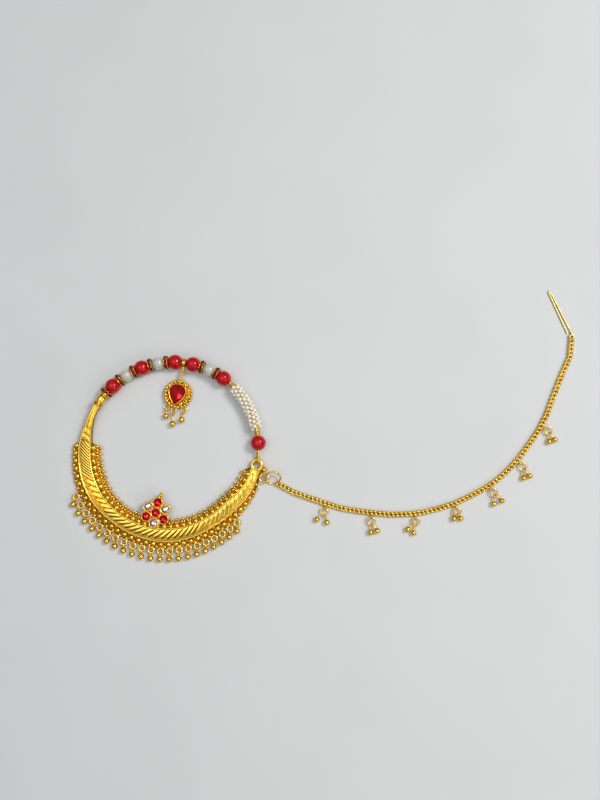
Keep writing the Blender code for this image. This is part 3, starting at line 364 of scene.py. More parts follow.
# Jump ring, chain, charms and hook
JUMP_MEAN = 4.5 * MM
JUMP_WIRE = 0.48 * MM
JUMP_REACH = 2.76 * MM
JUMP_TILT = 34.0
JUMP_HEIGHT = 1.55 * MM
JUMP_KNOT = 0.9 * MM
JUMP_KNOT_ANGLE = 50.0
CHAIN_LINK_ANGLE = -58.0
CHAIN_DIAMETER = 1.7 * MM
CHAIN_POINTS = 25
LINK_HALF_LENGTH = 0.86 * MM
LINK_LAP = 0.04 * MM
LINK_TWIST = math.radians(56.0)
LINK_STEPS = 18
LINK_HEIGHT_SHARE = 0.42
LOOP_MEAN = 1.2 * MM
LOOP_WIRE = 0.35 * MM
LOOP_HEIGHT = 0.9 * MM
LOOP_REACH = 0.72 * MM
FIRST_LOOP_HEIGHT = 0.81 * MM
CHARM_MEAN = 2.35 * MM
CHARM_WIRE = 0.45 * MM
CHARM_BALL = 1.8 * MM
CHARM_REACH = 3.5 * MM
CHARM_LOOP_OFFSET = 0.45 * MM
CHARM_CURL_MEAN = 0.8 * MM
CHARM_CURL_WIRE = 0.3 * MM
CHARM_STEM = 0.4 * MM
CHARM_CAP_MEAN = 0.45 * MM
CHARM_CAP_WIRE = 0.22 * MM
CHAIN_ROUTE_MM = (
    (3.5, -2.1), (8.2, -3.9), (13.8, -5.8), (18.2, -7.3), (24.1, -8.4), (29.9, -9.1), (35.8, -9.6),
    (43.6, -9.1), (48.9, -7.9), (53.8, -6.5), (59.0, -4.2), (64.1, -1.5), (69.3, 2.1), (74.1, 6.9),
    (78.4, 12.3), (82.8, 18.9), (86.0, 26.4), (88.7, 32.8), (91.5, 38.7), (92.8, 42.2), (92.5, 44.4),
)
CHARMS = (
    {"at": 0.130, "turns": (-135.0, -77.0), "reach": 0.95},
    {"at": 0.246, "turns": (-93.0, -59.0), "reach": 1.0},
    {"at": 0.354, "turns": (-137.0, -102.0), "reach": 1.0},
    {"at": 0.457, "turns": (-115.0, -62.0), "reach": 0.68},
    {"at": 0.556, "turns": (-90.0, -46.0), "reach": 1.0},
    {"at": 0.651, "turns": (-87.0, -54.0), "reach": 1.02},
    {"at": 0.760, "turns": (-87.0, -55.0), "reach": 1.0},
)
HOOK_LENGTH = 16.0 * MM
HOOK_WIRE = 0.55 * MM
HOOK_DRAWN_WIRE = 0.605 * MM
HOOK_TIP_WIDTH = 1.15 * MM
HOOK_BASE_WIDTH = 1.7 * MM
HOOK_EYE_MEAN = 1.3 * MM
HOOK_EYE_HEIGHT = 0.72 * MM
HOOK_EYE_TURN = 320.0
HOOK_FREE_END = 1.43 * MM
HOOK_NECK = 2.6 * MM
HOOK_DIRECTION = 113.7

# Stage. Lights: place from the aim and size in mm, power in watts and colour
LIGHTS = (
    ("key", (380.0, 190.0, 560.0), (230.0, 230.0), 2.45, (1.0, 0.97, 0.93)),
    ("top", (-90.0, 10.0, 440.0), (380.0, 260.0), 0.4, (0.99, 0.99, 1.0)),
    ("fill", (230.0, -230.0, 240.0), (150.0, 150.0), 0.2, (1.0, 0.98, 0.96)),
)
TABLE_HALF = 1.0
ROOM_COLOUR = (0.78, 0.8, 0.82, 1.0)
ROOM_LEVELS = {"From Min": 0.15, "From Max": 0.7, "To Min": 0.05, "To Max": 0.54}
ROOM_SEEN = 0.75

# Camera: where it aims on the floor, from the hoop's middle
AIM_OFFSET = Vector((39.5 * MM, 15.08 * MM, 0.0))
CAMERA_DISTANCE = 219.1 * MM
CAMERA_ELEVATION = 84.0
CAMERA_LENS = 31.5
CAMERA_NEAR = 0.01


def linear(code):
    """An sRGB hex colour as linear red, green and blue."""
    values = [int(code[index:index + 2], 16) / 255 for index in (1, 3, 5)]
    return tuple(v / 12.92 if v <= 0.04045 else ((v + 0.055) / 1.055) ** 2.4 for v in values)


def size_property(label, description, millimetres):
    return FloatProperty(name=label, description=description, default=millimetres * MM, unit="LENGTH")


def colour_property(label, description, code):
    return FloatVectorProperty(
        name=label, description=description, default=linear(code), size=3, subtype="COLOR")


class NathSizes(bpy.types.PropertyGroup):
    """Sizes of the finished surfaces that a user may change"""
    red_bead: size_property("Red bead", "Diameter of the red glass beads", 4.7)
    pearl: size_property("Pearl", "Diameter of the pearls", 4.0)
    rondelle: size_property("Rondelle", "Diameter of the stone-set spacers", 4.2)
    seed_bead: size_property("Seed bead", "Diameter of the seed beads in the sleeve", 1.32)
    seed_strands: IntProperty(name="Seed strands", description="Strands round the sleeve", default=7, min=3)
    flower_stone: size_property("Flower stone", "Diameter of the flower's stones", 2.6)
    granule: size_property("Granule", "Diameter of the crescent's outer granules", 1.85)
    cut_depth: FloatProperty(
        name="Cut depth", description="How deep the leaf's cuts are, against their usual depth", default=1.0,
        min=0.0, max=1.5, subtype="FACTOR")
    rim_units: IntProperty(name="Rim units", description="Discs along the inner rim", default=35, min=8)
    chain_links: IntProperty(name="Chain links", description="Curb links in the chain", default=93, min=8)
    chain_wire: size_property("Chain wire", "Wire of the curb links", 0.68)


class NathColours(bpy.types.PropertyGroup):
    """Colours of the finishes"""
    gold: colour_property("Gold", "Bright gold plate", "#F8D662")
    deep_gold: colour_property("Deep gold", "Gold where the plate is warmer", "#F0BE4A")
    brass: colour_property("Pale brass", "Brass of the hair hook", "#D9C58A")
    red: colour_property("Red glass", "Glass of the red beads", "#E20C12")
    garnet: colour_property("Garnet", "Stones of the rondelles", "#8E0A10")
    ruby: colour_property("Ruby", "Cut red stones", "#F0121A")
    crystal: colour_property("Crystal", "Cut clear stones", "#DCDCD8")
    pearl: colour_property("Pearl", "Nacre of the pearls", "#C8C6C0")
    seed: colour_property("Seed glass", "White seed beads", "#F4F0E6")
    floor: colour_property("Floor", "Table under the ring", "#D9DBDC")


# Places on the hoop


def node_middle(name):
    low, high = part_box(name)
    return (low + high) / 2


def circle_through(first, second, third):
    """The middle and the radius of the upright circle through three points, seen from above."""
    points = [first, second, third]
    squares = [point.x ** 2 + point.y ** 2 for point in points]
    rises = [points[1].y - points[2].y, points[2].y - points[0].y, points[0].y - points[1].y]
    runs = [points[2].x - points[1].x, points[0].x - points[2].x, points[1].x - points[0].x]
    scale = 2 * sum(point.x * rise for point, rise in zip(points, rises))
    x = sum(square * rise for square, rise in zip(squares, rises)) / scale
    y = sum(square * run for square, run in zip(squares, runs)) / scale
    middle = Vector((x, y, first.z))
    return middle, (first - middle).length


HOOP_MIDDLE, HOOP_RADIUS = circle_through(
    node_middle("red_bead_1"), node_middle("red_bead_4"), node_middle("red_bead_6"))
AXIS_HEIGHT = HOOP_MIDDLE.z
AIM = Vector((HOOP_MIDDLE.x, HOOP_MIDDLE.y, 0.0)) + AIM_OFFSET


def direction(angle):
    turn = math.radians(angle)
    return Vector((math.cos(turn), math.sin(turn), 0.0))


def polar(radius, angle, height=0.0):
    """A point at an angle in degrees round the hoop's middle."""
    return Vector((HOOP_MIDDLE.x, HOOP_MIDDLE.y, height)) + direction(angle) * radius


def along_hoop(length):
    return math.degrees(length / HOOP_RADIUS)


def node_angle(name):
    away = node_middle(name) - HOOP_MIDDLE
    return math.degrees(math.atan2(away.y, away.x))


def on_hoop(angle):
    """The frame of a piece threaded on the hoop: Z along the wire, X outward."""
    outward = direction(angle)
    forward = Vector((outward.y, -outward.x, 0.0))
    turn = Matrix((outward, forward.cross(outward), forward)).transposed().to_4x4()
    return Matrix.Translation(polar(HOOP_RADIUS, angle, AXIS_HEIGHT)) @ turn


def aimed(place, heading, upright=UP):
    """A matrix whose Z axis runs along heading, and whose Y axis is as near to upright as it can be."""
    z_axis = Vector(heading).normalized()
    x_axis = Vector(upright).cross(z_axis).normalized()
    turn = Matrix((x_axis, z_axis.cross(x_axis), z_axis)).transposed().to_4x4()
    return Matrix.Translation(place) @ turn


def turned(place, degrees):
    return Matrix.Translation(place) @ Matrix.Rotation(math.radians(degrees), 4, "Z")


def mix(first, second, share):
    return first + (second - first) * share


def smooth(value):
    value = min(max(value, 0.0), 1.0)
    return value * value * (3 - 2 * value)


def shares(count):
    """Shares from 0 to 1 in that many equal steps."""
    return [step / count for step in range(count + 1)]


def circle_point(turn, reach, height=0.0):
    """A point at a turn in radians round the Z axis."""
    return Vector((reach * math.cos(turn), reach * math.sin(turn), height))


# Modelling


def join(bm, part, matrix, finish=0):
    """Moves a part into place and adds it to a piece, in one finish unless its faces have their own."""
    bmesh.ops.transform(part, matrix=matrix, verts=part.verts)
    if finish is not None:
        for face in part.faces:
            face.material_index = finish
    mesh = small_mesh("part", part)
    bm.from_mesh(mesh)
    bpy.data.meshes.remove(mesh)


def add_ball(bm, diameter, matrix, segments=16, rings=9):
    bmesh.ops.create_uvsphere(bm, u_segments=segments, v_segments=rings, radius=diameter / 2, matrix=matrix)


def add_rod(bm, start, end, diameter, sides=10):
    run = end - start
    bmesh.ops.create_cone(
        bm, cap_ends=True, segments=sides, radius1=diameter / 2, radius2=diameter / 2, depth=run.length,
        matrix=aimed((start + end) / 2, run))


def add_ring(bm, mean, wire, matrix, steps=24, sides=8):
    """A round wire ring about the Z axis of matrix."""
    part = bmesh.new()
    upright = Matrix.Translation((mean / 2, 0.0, 0.0)) @ Matrix.Rotation(math.pi / 2, 4, "X")
    bmesh.ops.create_circle(part, segments=sides, radius=wire / 2, matrix=upright)
    spin_round(part, steps)
    join(bm, part, matrix)


def spin_round(part, steps):
    geometry = [*part.verts, *part.edges]
    bmesh.ops.spin(
        part, geom=geometry, cent=(0, 0, 0), axis=(0, 0, 1), angle=math.tau, steps=steps, use_merge=True)
    bmesh.ops.remove_doubles(part, verts=part.verts, dist=MERGE)


def add_turned(bm, profile, matrix, steps=32, closed=False):
    """Spins (radius, height) pairs about the Z axis of matrix."""
    part = turned_part(profile, steps, closed)
    join(bm, part, matrix)


def turned_part(profile, steps, closed=False):
    part = bmesh.new()
    verts = [part.verts.new((radius, 0.0, height)) for radius, height in profile]
    ends = verts[1:] + verts[:1] if closed else verts[1:]
    for pair in zip(verts, ends):
        part.edges.new(pair)
    spin_round(part, steps)
    return part


def drape(bm, along, around, place, finish=0, second=None):
    """A grid laid where place(u, v) says, with its seams merged and its open ends closed.

    Where second(u, v) is true, a face has the next finish."""
    part = bmesh.new()
    bmesh.ops.create_grid(part, x_segments=along, y_segments=around, size=0.5)
    for face in part.faces:
        middle = face.calc_center_median()
        face.material_index = finish
        if second and second(middle.x + 0.5, middle.y + 0.5):
            face.material_index = finish + 1
    for vert in part.verts:
        vert.co = place(vert.co.x + 0.5, vert.co.y + 0.5)
    bmesh.ops.remove_doubles(part, verts=part.verts, dist=MERGE)
    ends = [edge for edge in part.edges if edge.is_boundary]
    if ends:
        bmesh.ops.holes_fill(part, edges=ends, sides=0)
    join(bm, part, Matrix.Identity(4), None)


def add_wire(bm, points, diameter, sides=8, closed=False, upright=UP, finish=0):
    """A round wire along points."""
    count = len(points)
    steps = count if closed else count - 1
    frames = []
    for index, point in enumerate(points):
        before = points[(index - 1) % count] if closed or index else point
        after = points[(index + 1) % count] if closed or index < count - 1 else point
        side = (after - before).cross(upright).normalized()
        rise = side.cross(after - before).normalized()
        frames.append((point, side, rise))

    def place(u, v):
        point, side, rise = frames[round(u * steps) % count]
        turn = math.tau * v
        return point + (side * math.cos(turn) + rise * math.sin(turn)) * diameter / 2

    drape(bm, steps, sides, place, finish)


def stamp(bm, mesh, matrix, index=None):
    """Adds a copy of a small mesh at a place, in another finish if index gives one."""
    copy = mesh.copy()
    copy.transform(matrix)
    if index is not None:
        copy.polygons.foreach_set("material_index", [index] * len(copy.polygons))
    bm.from_mesh(copy)
    bpy.data.meshes.remove(copy)


def small_mesh(name, bm):
    mesh = bpy.data.meshes.new(name)
    bm.to_mesh(mesh)
    bm.free()
    return mesh


def finish_piece(name, bm, finishes, nodes, crisp=()):
    """Makes the piece, hangs it on the root body and hides the solids that it stands for.

    The finishes whose index is in crisp show their facets. Elsewhere only square edges stay sharp."""
    bmesh.ops.recalc_face_normals(bm, faces=bm.faces)
    for face in bm.faces:
        face.smooth = True
    for edge in bm.edges:
        if len(edge.link_faces) == 2:
            limit = CRISP_EDGE if edge.link_faces[0].material_index in crisp else SOFT_EDGE
            edge.smooth = edge.calc_face_angle() < limit
    mesh = small_mesh(name, bm)
    for finish in finishes:
        mesh.materials.append(material(finish))
    piece = bpy.data.objects.new(name, mesh)
    bpy.context.scene.collection.objects.link(piece)
    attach(piece, ROOT)
    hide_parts(*nodes)
    return piece


def smooth_route(points, count):
    """Points at even spacing along a smooth curve through the given ones."""
    padded = [points[0] * 2 - points[1], *points, points[-1] * 2 - points[-2]]
    fine = []
    steps = 12
    for before, start, end, after in zip(padded, padded[1:], padded[2:], padded[3:]):
        for step in range(steps):
            t = step / steps
            bend = (before * 2 - start * 5 + end * 4 - after) * t * t
            turn = (start * 3 - before - end * 3 + after) * t * t * t
            fine.append((start * 2 + (end - before) * t + bend + turn) / 2)
    fine.append(points[-1])
    return even_points(fine, count)


def even_points(fine, count):
    lengths = [0.0]
    for start, end in zip(fine, fine[1:]):
        lengths.append(lengths[-1] + (end - start).length)
    result = []
    index = 0
    for step in range(count):
        target = lengths[-1] * step / (count - 1)
        while index < len(fine) - 2 and lengths[index + 1] < target:
            index += 1
        share = (target - lengths[index]) / (lengths[index + 1] - lengths[index])
        result.append(fine[index].lerp(fine[index + 1], share))
    return result


def route_at(route, share):
    place = share * (len(route) - 1)
    index = min(int(place), len(route) - 2)
    return route[index].lerp(route[index + 1], place - index), (route[index + 1] - route[index]).normalized()


def side_of(heading):
    """The level direction to the right of a heading."""
    return Vector((heading.y, -heading.x, 0.0)).normalized()


# Materials


# Inputs and output of a mix node that blends colours, and the range of noise that is used
BLEND_FACTOR = 0
BLEND_FIRST = 6
BLEND_SECOND = 7
BLEND_RESULT = 2
NOISE_LOW = 0.3
NOISE_HIGH = 0.7


def add_node(tree, kind, inputs=None, **settings):
    """Adds a node with its settings, and fills inputs with values or with links."""
    node = tree.nodes.new(kind)
    for name, value in settings.items():
        setattr(node, name, value)
    for name, value in (inputs or {}).items():
        if isinstance(value, bpy.types.NodeSocket):
            tree.links.new(value, node.inputs[name])
        else:
            node.inputs[name].default_value = value
    return node


def grain(tree, size_mm, detail=2.0):
    """Noise whose blotches measure about size_mm."""
    where = add_node(tree, "ShaderNodeTexCoord")
    return add_node(
        tree, "ShaderNodeTexNoise",
        {"Vector": where.outputs["Object"], "Scale": 1.0 / (size_mm * MM), "Detail": detail}).outputs["Fac"]


def spread(tree, value, low, high):
    """Turns noise into a value between low and high."""
    return add_node(
        tree, "ShaderNodeMapRange",
        {"Value": value, "From Min": NOISE_LOW, "From Max": NOISE_HIGH, "To Min": low, "To Max": high},
    ).outputs["Result"]


def blotched(tree, first, second, size_mm):
    """A colour that drifts between two."""
    blend = add_node(tree, "ShaderNodeMix", data_type="RGBA")
    tree.links.new(spread(tree, grain(tree, size_mm), 0.0, 1.0), blend.inputs[BLEND_FACTOR])
    blend.inputs[BLEND_FIRST].default_value = (*first, 1.0)
    blend.inputs[BLEND_SECOND].default_value = (*second, 1.0)
    return blend.outputs[BLEND_RESULT]


def toned(tone, *factors):
    """A colour whose channels are multiplied by three factors, or all by the one given."""
    return [channel * factor for channel, factor in zip(tone, factors * 3)]


def varied_material(name, surface, tones, drift_mm, polish_mm, roughness, skin_mm=None):
    """A material whose tone drifts between two and whose polish varies.

    Skin_mm gives how wide and how high its unevenness is."""
    made = bpy.data.materials.new(name)
    made.use_nodes = True
    tree = made.node_tree
    shader = tree.nodes["Principled BSDF"]
    for socket, value in surface.items():
        shader.inputs[socket].default_value = value
    tree.links.new(blotched(tree, *tones, drift_mm), shader.inputs["Base Color"])
    tree.links.new(spread(tree, grain(tree, polish_mm), *roughness), shader.inputs["Roughness"])
    if skin_mm:
        width, height = skin_mm
        skin = {"Height": grain(tree, width), "Distance": height * MM, "Strength": 1.0}
        bump = add_node(tree, "ShaderNodeBump", skin)
        tree.links.new(bump.outputs["Normal"], shader.inputs["Normal"])
    return made


def gold_plate(colours):
    """Gold electroplate on cast brass, tumbled bright: a soft mirror, warmer in places, faintly uneven."""
    return varied_material(
        "gold_plate", {"Metallic": 1.0}, (colours.gold, colours.deep_gold),
        drift_mm=2.2, polish_mm=0.5, roughness=(0.1, 0.24), skin_mm=(0.35, 0.006))


def shaded_ground(colours):
    """Recessed ground of the casting, matt, with painted shade: a darker, deeper orange."""
    deep = toned(colours.deep_gold, 0.6, 0.5, 0.26)
    return varied_material(
        "shaded_ground", {"Metallic": 1.0}, (deep, toned(deep, 0.6)),
        drift_mm=0.8, polish_mm=0.3, roughness=(0.35, 0.55), skin_mm=(0.25, 0.03))


def cut_shadow(colours):
    """Painted shade in the leaf's deep cuts: dark brown, dull, with a little gilt showing."""
    deep = toned(colours.deep_gold, 0.16, 0.09, 0.04)
    return varied_material(
        "cut_shadow", {"Metallic": 0.4}, (deep, toned(deep, 0.4)),
        drift_mm=0.5, polish_mm=0.3, roughness=(0.4, 0.6))


def pale_brass(colours):
    """Lacquered spring brass wire, drawn: pale, silkier than the plate."""
    return varied_material(
        "pale_brass", {"Metallic": 1.0}, (colours.brass, toned(colours.brass, 0.8)),
        drift_mm=1.5, polish_mm=0.3, roughness=(0.24, 0.38), skin_mm=(0.2, 0.004))


def red_glass(colours):
    """Lampworked red glass: a little light passes through, with deeper drifts and a wet polish."""
    return varied_material(
        "red_glass", {"IOR": 1.5, "Transmission Weight": 0.3, "Specular IOR Level": 0.35},
        (colours.red, toned(colours.red, 0.75)), drift_mm=1.6, polish_mm=0.8, roughness=(0.03, 0.1))


def pearl_nacre(colours):
    """Shell pearl with a nacre coat: satin body under a clear film, with faint cream drifts."""
    surface = {
        "IOR": 1.53, "Subsurface Weight": 0.15, "Subsurface Scale": 0.6 * MM, "Coat Weight": 1.0,
        "Coat Roughness": 0.08, "Sheen Weight": 0.15}
    return varied_material(
        "pearl", surface, (colours.pearl, toned(colours.pearl, 0.96, 0.93, 0.86)),
        drift_mm=1.3, polish_mm=0.6, roughness=(0.24, 0.36), skin_mm=(0.5, 0.01))


def white_seed_glass(colours):
    """Opaque white seed glass with a pearl lustre: milky, glossy, a little uneven from bead to bead."""
    surface = {
        "IOR": 1.52, "Subsurface Weight": 0.2, "Subsurface Scale": 0.4 * MM, "Coat Weight": 0.6,
        "Coat Roughness": 0.1}
    return varied_material(
        "white_seed_glass", surface, (colours.seed, toned(colours.seed, 0.95, 0.88, 0.72)),
        drift_mm=1.4, polish_mm=0.4, roughness=(0.18, 0.34))


def cut_stone(name, tone, dark, size_mm):
    """Foil-backed cut glass: each facet mirrors its own piece of the room in the stone's colour."""
    return varied_material(
        name, {"Metallic": 0.85, "IOR": 1.55, "Coat Weight": 0.35, "Coat Roughness": 0.02},
        (tone, toned(tone, dark)), drift_mm=size_mm, polish_mm=0.5, roughness=(0.05, 0.14))


def thread_gold(colours):
    """Gilt thread of the sleeve's core: dull, greenish gold, wound fine."""
    dull = toned(colours.gold, 0.8, 0.82, 0.5)
    return varied_material(
        "thread_gold", {"Metallic": 0.8}, (dull, toned(dull, 0.5)),
        drift_mm=0.5, polish_mm=0.2, roughness=(0.35, 0.6), skin_mm=(0.12, 0.03))


def table_paper(colours):
    """Matt white card under the ring: near white, with the faint mottle of paper."""
    return varied_material(
        "table_paper", {"Specular IOR Level": 0.2}, (colours.floor, toned(colours.floor, 0.97)),
        drift_mm=40.0, polish_mm=3.0, roughness=(0.75, 0.85))


def material(name):
    """The finish of that name, made when it is first needed."""
    made = bpy.data.materials.get(name)
    if made and made.use_nodes and made.get("nath"):
        return made
    if made:
        made.name = name + "_solid"
    colours = bpy.context.scene.nath_colours
    makers = {
        "gold_plate": lambda: gold_plate(colours),
        "shaded_ground": lambda: shaded_ground(colours),
        "cut_shadow": lambda: cut_shadow(colours),
        "pale_brass": lambda: pale_brass(colours),
        "red_glass": lambda: red_glass(colours),
        "pearl": lambda: pearl_nacre(colours),
        "white_seed_glass": lambda: white_seed_glass(colours),
        "garnet_rondelle": lambda: cut_stone("garnet_rondelle", colours.garnet, 0.6, 1.0),
        "red_crystal": lambda: cut_stone("red_crystal", colours.ruby, 0.5, 1.6),
        "clear_crystal": lambda: cut_stone("clear_crystal", colours.crystal, 0.85, 1.1),
        "thread_gold": lambda: thread_gold(colours),
        "table_paper": lambda: table_paper(colours),
    }
    made = makers[name]()
    made["nath"] = True
    return made


# String of beads


def bored_ball(diameter, steps=20):
    """Profile of a ball with a bore through it, as (radius, height) pairs."""
    radius = diameter / 2
    start = math.asin(BORE / diameter)
    turns = [mix(start, math.pi - start, share) for share in shares(steps)]
    return [(radius * math.sin(turn), radius * math.cos(turn)) for turn in turns]


def make_bead(name, diameter, finish_name):
    bm = bmesh.new()
    add_turned(bm, bored_ball(diameter), on_hoop(node_angle(name)), steps=40, closed=True)
    finish_piece(f"{name}_bead", bm, [finish_name], [name])


def wrap(bm):
    """Closes a hull of flat facets round the points of bm."""
    hull = bmesh.ops.convex_hull(bm, input=bm.verts)
    bmesh.ops.delete(bm, geom=hull["geom_interior"], context="VERTS")


def gem_mesh(diameter, height, depth):
    """A brilliant: an eight-sided table, star and main facets down to the girdle, and a pointed back."""
    bm = bmesh.new()
    for share, rise, sides, twist in GEM_RINGS:
        for index in range(sides):
            outward = direction(360.0 * index / sides + twist)
            bm.verts.new(outward * diameter / 2 * share + UP * height * rise)
    bm.verts.new(-UP * depth)
    wrap(bm)
    return small_mesh("gem", bm)


def rondelle_mesh(diameter):
    """Two fluted rims on a hub, with ten stones set round between them."""
    radius = diameter / 2
    half = RONDELLE_RIM_LENGTH / 2
    bore = BORE / 2
    steps = RONDELLE_LOBES * 6
    upright = Matrix.Identity(4)
    bm = bmesh.new()
    for side in (-1.0, 1.0):
        points = []
        for step in range(steps):
            turn = math.tau * step / steps
            wave = math.cos(RONDELLE_LOBES * turn)
            reach = radius - RONDELLE_RIM_WIRE + RONDELLE_LOBE_REACH * wave
            height = half - RONDELLE_RIM_WIRE / 2 + RONDELLE_LOBE_LEAN * wave
            points.append(circle_point(turn, reach, side * height))
        add_wire(bm, points, RONDELLE_RIM_WIRE, sides=8, closed=True)
        web = [
            (bore, side * RONDELLE_WEB_FACE), (radius - RONDELLE_WEB_EDGE, side * (half - RONDELLE_WEB_DIP)),
            (radius - RONDELLE_WEB_FOOT, side * RONDELLE_WEB_BACK), (bore, side * RONDELLE_WEB_BACK)]
        add_turned(bm, web, upright, steps=40, closed=True)
    hub = [
        (bore, -RONDELLE_HUB_HALF), (RONDELLE_HUB_RADIUS, -RONDELLE_HUB_HALF),
        (RONDELLE_HUB_RADIUS, RONDELLE_HUB_HALF), (bore, RONDELLE_HUB_HALF)]
    add_turned(bm, hub, upright, steps=20, closed=True)
    gem = gem_mesh(RONDELLE_GEM, RONDELLE_GEM_HEIGHT, RONDELLE_GEM_DEPTH)
    for index in range(RONDELLE_LOBES):
        outward = direction(360.0 * (index + 0.5) / RONDELLE_LOBES)
        stamp(bm, gem, aimed(outward * (radius - RONDELLE_GEM_INSET), outward), 1)
    return small_mesh("rondelle", bm)


def make_rondelle(name, mesh):
    bm = bmesh.new()
    stamp(bm, mesh, on_hoop(node_angle(name)))
    finish_piece(f"{name}_set", bm, ["gold_plate", "garnet_rondelle"], [name], crisp=[1])


def make_coil(name):
    """Three close turns of wire round the hoop."""
    place = on_hoop(node_angle(name))
    reach = (COIL_DIAMETER - COIL_WIRE) / 2
    points = []
    for share in shares(COIL_TURNS * 18):
        height = (share - 0.5) * (COIL_LENGTH - COIL_WIRE)
        points.append(place @ circle_point(math.tau * COIL_TURNS * share, reach, height))
    bm = bmesh.new()
    add_wire(bm, points, COIL_WIRE, sides=8, upright=place.col[2].to_3d())
    finish_piece(f"{name}_wound", bm, ["gold_plate"], [name])


def seed_mesh(bead):
    """A seed bead: a ball with flattened ends and a wide bore."""
    profile = []
    for share in shares(6):
        turn = mix(SEED_BORE_TURN, math.pi - SEED_BORE_TURN, share)
        profile.append((bead / 2 * math.sin(turn) ** SEED_FULLNESS, bead / 2 * math.cos(turn)))
    bm = bmesh.new()
    add_turned(bm, profile, Matrix.Identity(4), steps=12, closed=True)
    return small_mesh("seed", bm)


def make_seed_sleeve(sizes):
    """Strands of seed beads round a gilt core, each a little on from the last, drawn in at the ends."""
    bead = sizes.seed_bead
    strands = sizes.seed_strands
    middle = node_angle("seed_bead_sleeve")
    reach = (SLEEVE_DIAMETER - bead) / 2 + SLEEVE_SWELL
    pitch = bead * SEED_PITCH_SHARE
    count = int(SLEEVE_LENGTH / pitch)
    mesh = seed_mesh(bead)
    bm = bmesh.new()
    for strand in range(strands):
        lead = (strand * SLEEVE_LEAD_STEP % strands) / strands - 0.5
        for index in range(count):
            along = (index - (count - 1) / 2 + lead) * pitch
            if abs(along) > (SLEEVE_LENGTH - bead / 2) / 2:
                continue
            full = smooth((SLEEVE_LENGTH / 2 - abs(along)) / SLEEVE_TAPER)
            turn = math.tau * (strand / strands + along / SLEEVE_LENGTH * SLEEVE_TWIST)
            side = circle_point(turn, reach * mix(SLEEVE_END_SHARE, 1.0, full))
            stamp(bm, mesh, on_hoop(middle - along_hoop(along)) @ Matrix.Translation(side), 0)
    core = []
    for share in shares(24):
        core.append(polar(HOOP_RADIUS, middle - along_hoop(SLEEVE_LENGTH * (share - 0.5)), AXIS_HEIGHT))
    add_wire(bm, core, SLEEVE_CORE, sides=14, finish=1)
    finishes = ["white_seed_glass", "thread_gold"]
    finish_piece("seed_bead_strands", bm, finishes, ["seed_bead_sleeve"])


def make_hoop_wire():
    """From the collar round the hoop, over the eye's bar, through the eye and back underneath."""
    start = COLLAR_START_ANGLE + WIRE_SOCKET_TURN
    end = node_angle("red_bead_6") - along_hoop(WIRE_BEND_BACK)
    bar_outer = EYE_ANGLE - 360.0 + along_hoop(EYE_DIAMETER / 2)
    bar_inner = EYE_ANGLE - 360.0 + along_hoop(EYE_HOLE_DIAMETER / 2)
    clear = along_hoop(WIRE / 2 + WIRE_CLEARANCE)
    middle = (AXIS_HEIGHT + WIRE_LOW) / 2
    points = [polar(HOOP_RADIUS, mix(start, end, share), AXIS_HEIGHT) for share in shares(70)]
    lane = WIRE_LANE * WIRE_APPROACH
    points.append(polar(HOOP_RADIUS + lane, mix(end, bar_outer + clear, WIRE_APPROACH), AXIS_HEIGHT))
    points.append(polar(HOOP_RADIUS + WIRE_LANE, bar_outer + clear, AXIS_HEIGHT))
    for share in shares(12):
        turn = math.pi * share
        height = middle + (AXIS_HEIGHT - middle) * math.cos(turn)
        radius = HOOP_RADIUS + WIRE_LANE * math.cos(turn)
        points.append(polar(radius, bar_inner - clear * math.sin(turn), height))
    inner = HOOP_RADIUS - WIRE_LANE
    points.append(polar(inner, bar_outer + clear / 2, WIRE_LOW))
    rise = mix(WIRE_LOW, middle, WIRE_RETURN_RISE)
    points.append(polar(inner, mix(bar_outer, end, WIRE_RETURN), rise))
    points.append(polar(inner, end - along_hoop(WIRE), middle))
    bm = bmesh.new()
    add_wire(bm, points, WIRE, sides=10, upright=WIRE_UPRIGHT)
    finish_piece("hoop_wire_drawn", bm, ["gold_plate"], ["hoop_wire"])


# Crescent


def crescent_angle(place):
    """The angle at a share of the crescent's arc."""
    end = EYE_ANGLE - along_hoop(EYE_HOLE_DIAMETER / 2)
    return mix(ARM_ANGLE, end, place)


def section_at(place):
    """The section at a share of the arc, with its widths as radii."""
    rows = [dict(zip(SECTION_COLUMNS, row)) for row in CRESCENT_SECTIONS]
    for first, second in zip(rows, rows[1:]):
        if place <= second["place"]:
            break
    share = (place - first["place"]) / (second["place"] - first["place"])
    share = min(max(share, 0.0), 1.0)
    row = {name: mix(first[name], second[name], share) for name in SECTION_COLUMNS}
    for name in ("inner_tip", "inner_rail", "outer_rail", "outer_tip"):
        row[name] = HOOP_RADIUS + row[name] * CRESCENT_WIDTH
    row["foot"] *= AXIS_HEIGHT
    return row


def crescent_plate(bm):
    """The thin ground of the casting, from rim to rim, with its flat back."""
    def place(u, v):
        row = section_at(u)
        foot = row["foot"]
        edge = (foot + row["height"] * RIM_HEIGHT * PLATE_RIM_SHARE) * PLATE_EDGE_SHARE
        rail = foot + row["height"] * RAIL_HEIGHT * PLATE_RAIL_SHARE
        inner = mix(row["inner_rail"], row["inner_tip"], PLATE_INNER_SHARE)
        outer = mix(row["outer_rail"], row["outer_tip"], PLATE_OUTER_SHARE)
        corners = (
            (inner, foot), (inner, edge), (row["inner_rail"], rail), (row["outer_rail"], rail),
            (outer, edge), (outer, foot))
        radius, height = corners[round(v * len(corners)) % len(corners)]
        return polar(radius, crescent_angle(u), height)

    # The ground takes finish 3, the recessed ground painted with shade.
    drape(bm, PLATE_STEPS, 6, place, 3)


